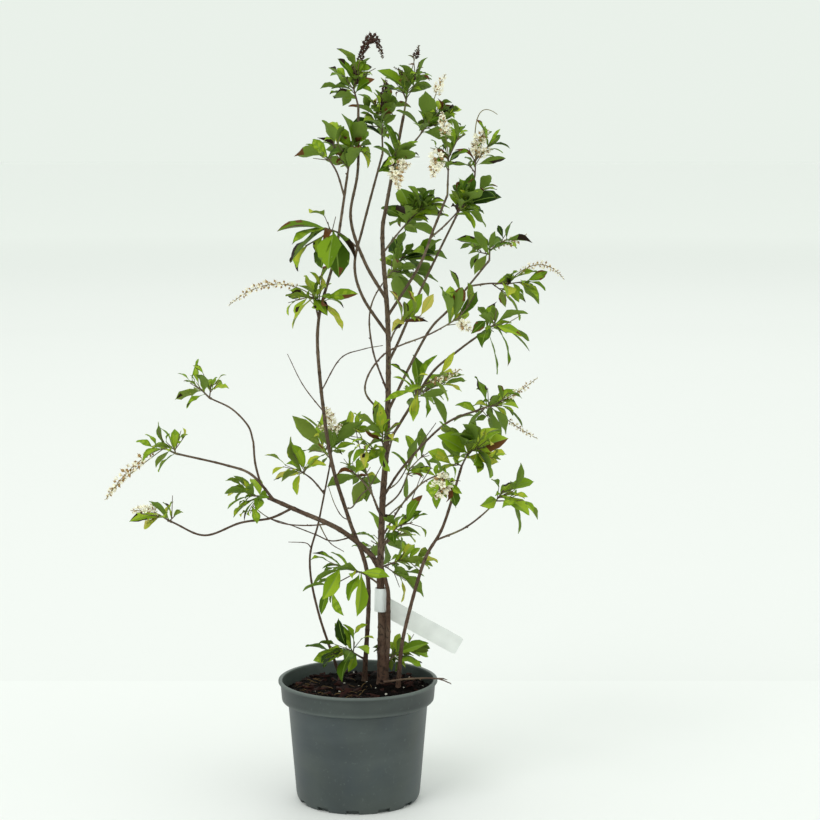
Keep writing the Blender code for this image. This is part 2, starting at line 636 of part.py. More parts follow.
def make_pot(parts, cutters):
    """A hollow pot: up its inside, over the rim and collar, and down its outside."""
    collar_low = RIM_H - COLLAR_H
    pot = turned("pot", parts, [
        (0, FLOOR), (HEEL_R - WALL - 2 * MM, FLOOR), (SHOULDER_R - WALL, collar_low - 4 * MM),
        (COLLAR_R - WALL, collar_low + WALL), (COLLAR_R - WALL, RIM_H),
        (RIM_R, RIM_H), (RIM_R, RIM_H - 3 * MM), (COLLAR_R + 0.3 * MM, RIM_H - 5 * MM),
        (COLLAR_R - 1.6 * MM, collar_low), (SHOULDER_R, collar_low - 1 * MM),
        (HEEL_R, 9 * MM), (BASE_R, 0), (0, 0)])
    for number in range(NOTCHES):
        angle = math.radians(number * 360 / NOTCHES + NOTCH_TURN)
        reach = HEEL_R + WALL
        notch = box(f"notch {number + 1}", cutters, (2 * NOTCH_DEEP, NOTCH_WIDE, 2 * NOTCH_HIGH),
                    (reach * math.cos(angle), reach * math.sin(angle), 0), (0, 0, angle))
        cut(pot, as_cutter(notch))
    finish(pot, PLASTIC, 0.42)


def make_soil(parts):
    """The compost, 0.3 mm clear of the pot's inside."""
    collar_low = RIM_H - COLLAR_H
    inner = COLLAR_R - WALL - GAP
    soil = turned("soil", parts, [
        (0, SOIL_TOP), (SOIL_FLAT_R, SOIL_TOP), (inner, SOIL_EDGE), (inner, collar_low + WALL + GAP),
        (SHOULDER_R - WALL - GAP, collar_low - 4 * MM + GAP),
        (HEEL_R - WALL - 2 * MM - GAP, FLOOR + GAP), (0, FLOOR + GAP)])
    finish(soil, COMPOST, 0.95)


def make_label(parts, trunk_route):
    """A band 0.3 mm clear of the trunk, with a blank tail that falls away to the right."""
    middle = at_height(trunk_route, (BAND_LOW + BAND_HIGH) / 2)
    high = BAND_HIGH - BAND_LOW
    inner, inner_top = BAND_R - LABEL_THICK, BAND_TOP_R - LABEL_THICK
    profile = [(inner, 0), (inner_top, high), (BAND_TOP_R, high), (BAND_R, 0)]
    band = turned("label", parts, profile, ring=True, steps=TURN_STEPS // 2)
    band.location = (middle.x, middle.y, BAND_LOW)
    turn = Euler((0, TAIL_FALL, TAIL_BACK))
    root = Vector((middle.x + TAIL_ROOT, middle.y + BAND_R - LABEL_THICK / 2, TAIL_ROOT_H))
    run = turn.to_matrix() @ Vector((TAIL_LONG / 2, 0, 0))
    tail = box("label tail", parts, (TAIL_LONG, LABEL_THICK, TAIL_WIDE), root + run, turn)
    settle(band)
    parts.objects.unlink(tail)
    joined(band, [tail])
    keep_main_body(band)
    finish(band, WHITE, 0.4)


def limb_sides(limb):
    return 8 if limb.radii[0] > 3 else 6 if limb.radii[0] > 1.6 else 4


def make_limb(limb, parts, routes):
    obj = tube(limb.name, parts, routes[limb.name], limb_radii(limb, routes[limb.name]), limb_sides(limb))
    finish(obj, BARK, 0.8)
    return obj


def carrier(limb, cutters, routes):
    """A limb made 0.3 mm fatter, which cuts the root of what it carries."""
    radii = [radius + GAP for radius in limb_radii(limb, routes[limb.name])]
    return as_cutter(tube(limb.name + " clearance", cutters, routes[limb.name], radii, limb_sides(limb)))


def leaf_mesh():
    """A unit leaf along +X, made from a three-sided ball: thin, arched, and keeled below its midrib."""
    bm = bmesh.new()
    bmesh.ops.create_uvsphere(bm, u_segments=3, v_segments=3, radius=1)
    levels = sorted({round(vert.co.z, 3) for vert in bm.verts})
    for vert in bm.verts:
        share = LEAF_SHARES[levels.index(round(vert.co.z, 3))]
        ring = math.hypot(vert.co.x, vert.co.y)
        side = round(vert.co.x / ring / math.sin(math.tau / 3)) if ring > MM else 0
        keel = leaf_half(share) * (0.5 if side else -0.5)
        vert.co = (share, side * leaf_half(share) / 2, leaf_lift(share) / LEAF_THICK + keel)
    bmesh.ops.recalc_face_normals(bm, faces=bm.faces)
    mesh = bpy.data.meshes.new("leaf")
    bm.to_mesh(mesh)
    bm.free()
    return mesh


def twig_mesh():
    """A unit three-sided twig along +X."""
    bm = bmesh.new()
    stand = Matrix.Rotation(math.pi / 2, 4, "Y") @ Matrix.Translation((0, 0, 0.5))
    bmesh.ops.create_cone(bm, segments=3, radius1=1, radius2=0.65, depth=1, cap_ends=True, matrix=stand)
    mesh = bpy.data.meshes.new("twig")
    bm.to_mesh(mesh)
    bm.free()
    return mesh


def placed(mesh, base, turn, size):
    obj = bpy.data.objects.new(mesh.name, mesh)
    obj.matrix_world = Matrix.Translation(base) @ turn.to_4x4() @ Matrix.Diagonal((*size, 1))
    return obj


def placed_twig(mesh, start, end):
    along = (end - start).normalized()
    side = along.orthogonal().normalized()
    turn = Matrix((along, side, along.cross(side))).transposed()
    return placed(mesh, start, turn, ((end - start).length, TWIG_R, TWIG_R))


def spike_radii(thick, bears):
    """A bare twig tapers, and a flower spike swells in its middle."""
    if bears == "bare":
        return [STEM_TIP_R for share in SPIKE_SWELL]
    return [max(STEM_TIP_R, thick * MM * share) for share in SPIKE_SWELL]


def make_mass(mass, parts, routes, obstacles, clearances, unit_leaf, unit_twig):
    stem = routes[mass.name]
    twigs, leaves = grow(mass, stem, obstacles)
    body = tube(mass.name, parts, stem, taper(stem, STEM_R, STEM_TIP_R), 4)
    others = [placed_twig(unit_twig, *twig) for twig in twigs]
    for leaf in leaves:
        size = (leaf["length"], leaf["width"], LEAF_THICK)
        others.append(placed(unit_leaf, leaf["base"], leaf["turn"], size))
    for control, end, thick, bears in mass.spikes:
        points = bezier(stem[-1], Vector(control) * CM, Vector(end) * CM, len(SPIKE_SWELL) - 1)
        spike = tube("spike", parts, points, spike_radii(thick, bears), 4)
        parts.objects.unlink(spike)
        others.append(spike)
    joined(body, others)
    if mass.height is not None:
        cut(body, clearances[mass.parent])
        settle(body)
    keep_main_body(body)
    finish(body, LEAF_GREEN, 0.6)


def main():
    clear_scene()
    parts = new_collection("potted summersweet shrub")
    cutters = new_collection("cutters")
    make_pot(parts, cutters)
    make_soil(parts)
    routes, obstacles = {}, Obstacles()
    for limb in LIMBS:
        routes[limb.name] = route_of(limb, routes)
        obstacles.add_route(NO_OWNER, routes[limb.name], limb_radii(limb, routes[limb.name]))
    for number, mass in enumerate(MASSES):
        routes[mass.name] = route_of(mass, routes)
        obstacles.add_route(number, routes[mass.name], taper(routes[mass.name], STEM_R, STEM_TIP_R))
    make_label(parts, routes["trunk"])
    limbs = {limb.name: make_limb(limb, parts, routes) for limb in LIMBS}
    clearances = {limb.name: carrier(limb, cutters, routes) for limb in LIMBS}
    for limb in LIMBS:
        if limb.height is not None and limb.parent != "soil":
            cut(limbs[limb.name], clearances[limb.parent])
    cut(limbs["left_bough"], clearances["trunk"])
    unit_leaf, unit_twig = leaf_mesh(), twig_mesh()
    for mass in MASSES:
        make_mass(mass, parts, routes, obstacles, clearances, unit_leaf, unit_twig)
    for limb in limbs.values():
        limb.data.shade_smooth()


main()
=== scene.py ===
"""A potted summersweet shrub, 84 cm tall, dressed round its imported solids, in metres, +Z up.

The limbs and the masses of foliage repeat the source's tables and its seeded rule, so every
leaf of the solids is here in its own outline. The same rule is then carried on to finer twigs,
young leaves and flower spikes inside the same spaces.
"""

import json
import math
import random
from dataclasses import dataclass

import bmesh
import bpy
import numpy as np
from bpy.props import FloatProperty, FloatVectorProperty, IntProperty, PointerProperty
from mathutils import Matrix, Vector, noise

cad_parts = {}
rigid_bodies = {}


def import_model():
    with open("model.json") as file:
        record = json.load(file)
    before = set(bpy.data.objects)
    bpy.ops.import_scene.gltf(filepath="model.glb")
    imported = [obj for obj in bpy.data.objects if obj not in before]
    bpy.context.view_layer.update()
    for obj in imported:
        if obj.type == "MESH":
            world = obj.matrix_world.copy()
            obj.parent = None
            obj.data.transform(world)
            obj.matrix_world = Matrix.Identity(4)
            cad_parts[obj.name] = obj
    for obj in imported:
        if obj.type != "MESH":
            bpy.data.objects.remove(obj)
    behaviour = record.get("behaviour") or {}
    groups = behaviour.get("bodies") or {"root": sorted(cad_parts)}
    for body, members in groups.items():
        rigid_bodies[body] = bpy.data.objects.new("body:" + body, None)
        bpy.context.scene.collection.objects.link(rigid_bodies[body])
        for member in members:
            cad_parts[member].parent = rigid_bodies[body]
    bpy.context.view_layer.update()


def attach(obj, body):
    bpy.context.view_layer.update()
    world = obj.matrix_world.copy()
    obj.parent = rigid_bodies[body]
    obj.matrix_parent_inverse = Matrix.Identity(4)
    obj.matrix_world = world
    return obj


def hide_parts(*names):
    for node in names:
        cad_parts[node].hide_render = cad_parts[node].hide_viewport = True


bl_info = {
    "name": "Potted summersweet shrub",
    "version": (1, 0, 0),
    "blender": (4, 5, 0),
    "location": "3D View > Sidebar > Shrub",
    "description": "Builds a flowering summersweet in its nursery pot round the packed solids",
    "category": "Object",
}

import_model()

CM = 0.01
MM = 0.001
GAP = 0.3 * MM

# Pot
RIM_R = 8.88 * CM
RIM_H = 13.6 * CM
COLLAR_R = 8.6 * CM
COLLAR_H = 2.3 * CM
SHOULDER_R = 7.8 * CM
HEEL_R = 6.95 * CM
BASE_R = 6.63 * CM
WALL = 1.5 * MM
FLOOR = 7.0 * MM
NOTCHES = 12
NOTCH_TURN = 26
NOTCH_WIDE = 14 * MM
NOTCH_HIGH = 5 * MM
NOTCH_DEEP = 8 * MM
POT_CREASE = math.radians(38)

# Compost
SOIL_TOP = 12.8 * CM
SOIL_EDGE = 12.0 * CM
SOIL_FLAT_R = 6.2 * CM
SOIL_RINGS, SOIL_STEPS = 22, 96
HEAP_PLACE = (4.6 * CM, 1.4 * CM)
HEAP_RISE = 5.5 * MM
HEAP_WIDE = 3.6 * CM
FIBRE_PATCH = (-3.6 * CM, -2.2 * CM, 5.2 * CM)

# Label
BAND_LOW = 21.3 * CM
BAND_HIGH = 23.9 * CM
BAND_R = 7.8 * MM
BAND_TOP_R = 7.2 * MM
LABEL_THICK = 0.8 * MM
TAIL_ROOT = 3 * MM
TAIL_ROOT_H = 21.7 * CM
TAIL_LONG = 98 * MM
TAIL_WIDE = 21 * MM
TAIL_FALL = math.radians(30)
TAIL_BACK = math.radians(7)
TAIL_STEPS, TAIL_ROWS = 26, 5
TAIL_EASED, TAIL_NARROWER = 0.97, 0.1
BAND_STEPS = 48
LABEL_CREASE = math.radians(40)

# Limbs
FOOT_LEAD = 4 * MM
TIP_LEAD = 3 * MM
SPAN_STEPS = 3
FLARE = 3.4 * MM
FLARE_HEIGHT = 14 * MM

# Foliage
STEM_R = 1.3 * MM
STEM_TIP_R = 0.8 * MM
TWIG_R = 0.95 * MM
LEAF_THICK = 1.0 * MM
LEAF_WIDTH = 0.5
LEAF_SHARES = (0, 0.36, 0.74, 1)
LEAF_HALVES = (0, 0.9, 1, 0)
LEAF_ARCH = 2.2
LEAF_SINK = 0.3 * MM
LEAF_SPACING = 2.8 * MM
CLEARANCE = 0.8 * MM
BEAD = 4 * MM
NO_OWNER = -1
BORDER = 0.04
GOLDEN_TURN = math.radians(137.5)
LEAVES_A_TWIG = 5
TRIES_A_LEAF = 12
TRIES_A_TWIG = 4
TWIG_SHARE = (0.4, 0.62)
TWIG_RISE = 0.8
SPREAD = 1.3
LEAF_SIZES = (0.9, 1.25)
LEAF_ROLL = math.radians(60)
LEAF_CUTS = (1, 0.85, 0.7)
STEEPEST = 0.97
LEAF_BARE = 0.35
UP_WITH_SHOOT = 0.5
TURN_SWAY = 0.35
TWIG_SWAY = 0.4
NODE_SWAY = (0.1, 0.4)
DROOP_SWAY = (-0.1, 0.2)
# How far a leaf leans off its shoot, in degrees: at the foot, how much less at the tip, by chance
LEAN, LEAN_LESS, LEAN_SWAY = 80, 40, 12
SPIKE_SWELL = (0.15, 0.75, 1.0, 0.85, 0.3)

# Finer growth
FINE_STEPS = 9
TWIGLETS_A_SHOOT = 3
TWIGLET_LONG = (8 * MM, 20 * MM)
TWIGLET_R = 0.55 * MM
FINE_STEM_R = 1.2 * MM
FINE_TIP_R = 0.72 * MM
KNOT_LONG = 1.4 * MM
TWIGLET_ROOT = (0.25, 0.85)
TWIGLET_OUT = (0.5, 1.1)
YOUNG_SIZES = (0.3, 0.8)
YOUNG_CLEARANCE = 0.3 * MM
YOUNG_STRETCH = 0.8
# A young leaf's lean in degrees at the tip, how much more further back, and its roll in radians
YOUNG_LEAN, YOUNG_LEAN_BACK, YOUNG_ROLL = (18, 55), 30, 1

# Leaf outline: the rows and columns of its points, those of its back, and its half widths along
# it, as shares of the greatest, from its stalk to its tip
LEAF_ROWS = (0, 0.09, 0.19, 0.31, 0.43, 0.55, 0.67, 0.78, 0.87, 0.95)
LEAF_COLUMNS = (-1, -0.62, -0.06, 0.06, 0.62, 1)
RIB, LAST_COLUMN = 2, 4
BACK_COLUMNS = (-0.62, 0, 0.62)
BACK_MARKS = (0, 1, 3, 4)
OUTLINE_SHARES = (0, 0.07, 0.12, 0.2, 0.3, 0.42, 0.55, 0.67, 0.78, 0.88, 0.95, 1)
OUTLINE_HALVES = (0, 0.03, 0.12, 0.33, 0.6, 0.85, 1.0, 0.97, 0.76, 0.43, 0.18, 0)
VEIN_SLANT = 0.1
PETIOLE_R = 0.45 * MM
SHEET_THICK = 0.4 * MM
TOOTH = 0.04
QUILT = 0.0035
LEAF_WIDTHS = (0.74, 1.08)
WHOLLY_DEAD = 0.16
# Where the crown's and the middle's leaves begin, in cm
CROWN_FROM, MIDDLE_FROM = 58, 38
# How a live and a dead leaf fold, droop and twist
LEAF_FOLD = ((0.1, 0.5), (0.5, 1.3))
LEAF_DROOP = ((-0.02, 0.14), (0.1, 0.4))
LEAF_TWIST = (0.35, 1.4)
DEAD_LONG = 0.62
DEAD_WIDE = 0.45
YOUNG_BROWNED = 0.5
LEAF_CREASE = math.radians(70)

# Tints, each one's lighter neighbour for what is lit, and the sprays' mixes of them
TINTS = ("fresh", "bright", "mid", "full", "deep", "lime", "yellow")
DEEP = 4
UNDER, PALE_UNDER, RUSSET, WITHERED, MIDRIB, PALE_RIB = 7, 8, 9, 10, 11, 12
LIGHTER = {0: 5, 1: 0, 2: 1, 3: 2, 4: 3, 5: 6, 6: 6, RUSSET: RUSSET, WITHERED: WITHERED}
TINT_MIXES = {
    "pale": ("fresh", "fresh", "fresh", "bright", "lime"),
    "bright": ("fresh", "fresh", "bright", "bright", "bright", "mid", "lime"),
    "middle": ("fresh", "bright", "bright", "mid", "mid", "mid", "full"),
    "dark": ("bright", "mid", "mid", "full", "full", "deep"),
    "yellow": ("yellow", "lime", "lime", "fresh", "bright"),
}

# Flower spikes
SPIKE_STEPS = 20
SPIKE_SKIP = 4
SPIKE_REACH = {"cream": 1.7, "tan": 2.3, "dry": 3.0}
SPIKE_STARTS = {("top_right", "dry"): 13, ("far_left_mid", "cream"): 13, ("top_branch", "cream"): 10,
                ("upper_right_inner", "cream"): 8}
SMALL_SPIKES = {"left_mid": [((-3.1, 5.4, 42.4), (-3.6, 4.8, 43.5), 3.6, "cream")],
                "far_left_mid": [((-25.6, -9.1, 37.0), (-26.4, -9.0, 35.6), 3.0, "cream")]}
SIDE_SPIKES = {"cream": 2, "tan": 0, "dry": 1}
LONE_SPIKES = ("top_branch", "upper_right_inner", "far_left_mid")
SIDE_SPIKE_SHARE = (0.5, 0.85)
SIDE_SPIKE_TURN = (0.45, 0.95)
AXIS_RADII = (0.6 * MM, 0.35 * MM)
AXIS_BARE = (0.75 * MM, 0.4 * MM)
THINNEST_SPIKE = 1.6
SIDE_SPIKE_WIDE = 0.8
PETALS = 5

# Bark: the step along it, the radius in mm past which a limb is thick, a thin and a thick limb's
# sides, and how far a leaf scar swells
BARK_STEP = 2.6 * MM
TWIG_STEP = 3 * MM
THICK_LIMB = 3
BARK_SIDES = (9, 14)
SPLIT_SIDES = 12
BARK_KNOT = 0.14
TWIG_KNOT = 0.25
BARE_KNOT = 0.3

# The bark's radius on a limb as a share of its solid's, where the photo shows it thinner
SLIMMER = {"trunk": 0.8, "rear_left_stem": 0.75}

# The half of the trunk that splits off and passes outside the label: radii in mm, places in cm
SPLIT_STEM = ((3.0, 2.1), [(3.1, 0, 12.6), (3.15, -0.1, 14.4), (3.3, -0.3, 16.9), (3.4, -0.6, 19.6),
                           (3.4, -0.95, 21.4), (3.4, -1.0, 23.5), (3.2, -0.7, 24.5), (2.7, -0.1, 26.2)])

# Bare twigs: name, the limb that each leaves and at what height, its radius in mm, and its
# places, in cm
BARE_TWIGS = [
    ("left_spur", "tall_left_stem", 43.6, 0.8, [(-5.9, -0.4, 46.6), (-7.6, -0.2, 50)]),
    ("crossing_twig", "tall_left_stem", 46, 0.8, [(-1.8, -1.2, 49.6), (0.6, -1, 50.6), (2.8, 0.4, 50.9)]),
    ("low_spur", "rear_left_stem", 27.6, 0.8, [(-6, 4.6, 28.1), (-7.9, 4.6, 28.2)]),
    ("upper_runner", "left_bough", 31.6, 0.9, [(-5.6, -4.2, 31.7), (-8, -4.6, 32), (-9.6, -5.2, 32.8),
     (-11.1, -5.5, 34)]),
    ("lower_runner", "tall_left_stem", 29.2, 0.9, [(-2.8, 0.5, 29.1), (-4.6, -1, 30.1), (-7.4, -3.5, 31.7),
     (-9.6, -5, 32.7)]),
    ("low_link", "rear_left_stem", 30.4, 0.8, [(-3.2, 2, 28.7), (-1.5, -1.5, 28.3)]),
    ("thin_fork", "tall_left_stem", 31, 0.7, [(-1.8, 2.6, 31.5), (-2.6, 2.4, 32.9), (-3.3, 2.2, 35)]),
    ("rising_twig", "tall_left_stem", 32.4, 0.9, [(-0.6, 0.5, 32.9), (0.4, -0.5, 34.4), (1.4, -1.2, 35.5),
     (2.4, -1.8, 37.4), (3.5, -2.2, 39.4)]),
    ("leader_twig", "leader", 31.6, 0.9, [(2, -1, 33.5), (1.6, -1.6, 35.1), (1, -2.2, 37.5),
     (0.4, -2.6, 39.8), (-0.1, -2.6, 42)]),
    ("crossing_right", "leader", 31.2, 0.9, [(3.8, -1.4, 32.6), (5.3, -3, 34.2), (6.7, -4, 35.9),
     (8.1, -4.4, 38.1)]),
    ("steep_twig", "leader", 28.4, 0.9, [(4.2, -1, 30.1), (5.2, -2.2, 31.9), (6, -3.2, 34.3),
     (7, -3.8, 37.1)]),
    ("high_crossing", "leader", 34.6, 0.8, [(4.5, -1, 36), (5.8, -2.2, 38.4), (7.3, -3, 40.9),
     (8.6, -3.4, 42.8)]),
    ("fallen_twig", None, None, 1.25, [(2.9, -3.2, 14), (5.8, -2.9, 14.3), (8.7, -2.6, 14.25),
     (10.3, -2.2, 13.6)]),
    ("fallen_fork", None, None, 0.9, [(8.5, -2.6, 14.25), (9.4, -1.6, 14), (9.9, -1, 13.7)]),
]

# Stage
STAGE_HALF = 60.0
BACKDROP_Y = 0.516
FADE_RADII = (6, 14)
ROOM_COLOUR = (0.82, 0.88, 0.82)
ROOM_LIGHT = 1.0
# Each light's place, share of the key's power, size, and the height that it looks at
LIGHTS = {"key": ((-3.6, -5.2, 7.4), 1, 4.5, 0.4), "fill": ((5.5, -3.9, 4.9), 0.18, 5, 0.4),
          "back": ((0.6, 6.1, 6.2), 0.3, 4.5, 0.45)}
SENSOR = 36.0
CAMERA_PLACE = (0.0581, -2.341, 0.736)
CAMERA_PITCH = 7.25


@dataclass
class Limb:
    """A tapering limb: radii in mm, places in cm. height is where it leaves its parent, or None at a tip."""

    name: str
    parent: str
    height: float
    radii: tuple
    places: list


@dataclass
class Mass:
    """A mass of foliage: its stem leaves parent at height, or at its tip, passes places and
    ends at the last one. centre and reach give its ellipsoid, all in cm. spray holds its mix of
    tints, the share of its leaves that have browned, its young leaves for each grown one, and
    how wide its leaves are."""

    name: str
    parent: str
    height: float
    places: list
    centre: tuple
    reach: tuple
    leaves: int
    leaf: float
    spray: tuple
    droop: float = 0.1
    spikes: tuple = ()


LIMBS = [
    Limb("trunk", "soil", 12.8, (7, 5.2), [(2.8, 0, 12.8), (2.7, 0, 16.8), (2.7, 0, 20.3), (2.5, 0, 25.4)]),
    Limb("leader", "trunk", None, (3.9, 1.6), [(2.8, 0, 33.8), (3.3, 0.3, 41.5), (3.4, 1, 52.6),
         (2.8, 1, 62.4), (3.3, 1, 66.5), (5.1, 1, 75.8)]),
    Limb("rear_left_stem", "soil", 12.8, (2, 1.3), [(-2.1, 2.5, 12.8), (-4.6, 3.4, 20.6), (-5.5, 4.1, 26.2),
         (-4.5, 4.8, 30.5), (-3.3, 6, 36.5)]),
    Limb("tall_left_stem", "soil", 12.8, (2.6, 1.4), [(0.7, 2, 12.8), (1.1, 2.2, 24.4), (-1, 3, 31),
         (-2.9, 1.5, 37.9), (-4, -1, 47.2), (-4.1, -2, 53.9), (-2.2, -4, 61.1), (-0.9, -4, 69.3)]),
    Limb("right_stem", "soil", 12.8, (2.3, 1.4), [(4.5, -1.5, 12.8), (5.1, -2.1, 19), (7.3, -3.3, 27.4),
         (9.4, -4.2, 31.6), (11.3, -5.6, 38.2)]),
    Limb("left_bough", "leader", 26, (3.2, 2.2), [(1.2, -1.3, 28.2), (-2, -2.5, 31), (-6.2, -3.9, 33.2),
         (-9.5, -5, 34.9)]),
    Limb("arching_bough", "left_bough", 34.6, (1.6, 1.1), [(-11.2, -6.2, 37.6), (-14, -7, 38.8),
         (-18.8, -8.6, 40.2)]),
    Limb("rising_bough", "arching_bough", 36.6, (1.3, 1.1), [(-10.9, -4.8, 38.6), (-11.1, -4.4, 40.6)]),
    Limb("curling_bough", "rising_bough", None, (1.1, 0.9), [(-11.7, -4, 42.6), (-13.5, -3, 44.3),
         (-15.8, -2, 45.3)]),
    Limb("trailing_bough", "left_bough", 33.6, (1.4, 1), [(-9.3, -5.3, 32.7), (-12.4, -7, 32.5),
         (-16, -9.5, 31.6), (-19.2, -12, 33.5)]),
    Limb("inner_left_bough", "leader", 52, (1.8, 1.3), [(0.6, 2.1, 56.1), (-0.3, 3.2, 59.6),
         (0.6, 4.3, 63.7), (2.7, 5.4, 71.5)]),
    Limb("left_leader", "leader", 55.9, (2, 1.3), [(0.9, -0.8, 60.1), (-0.6, -1.5, 64.9), (0.2, -2.2, 70),
         (0.3, -3, 76.5)]),
    Limb("inner_right_bough", "leader", 54, (1.7, 1.2), [(6.8, -1, 59.7), (8.3, -2.2, 63.6),
         (9.7, -4, 67.2)]),
    Limb("upper_right_bough", "leader", 49, (1.7, 1.2), [(4.7, 2.6, 51.5), (7.5, 5.8, 57.7),
         (10.9, 8.6, 64.5)]),
    Limb("right_bough", "leader", 43.5, (1.7, 1.1), [(5.5, 0.9, 48), (8, 2, 52.5), (10.4, 2.7, 55),
         (14.4, 3.8, 59.8)]),
    Limb("front_right_bough", "leader", 39.9, (1.6, 1.1), [(5, -1.8, 43), (8, -4.5, 48.2), (10.6, -6, 50.7),
         (13.5, -8, 53.1)]),
    Limb("low_right_bough", "leader", 34.1, (1.5, 1.1), [(5.2, 1.2, 37.5), (9.7, 4, 41.7),
         (14, 5.6, 43.3)]),
]

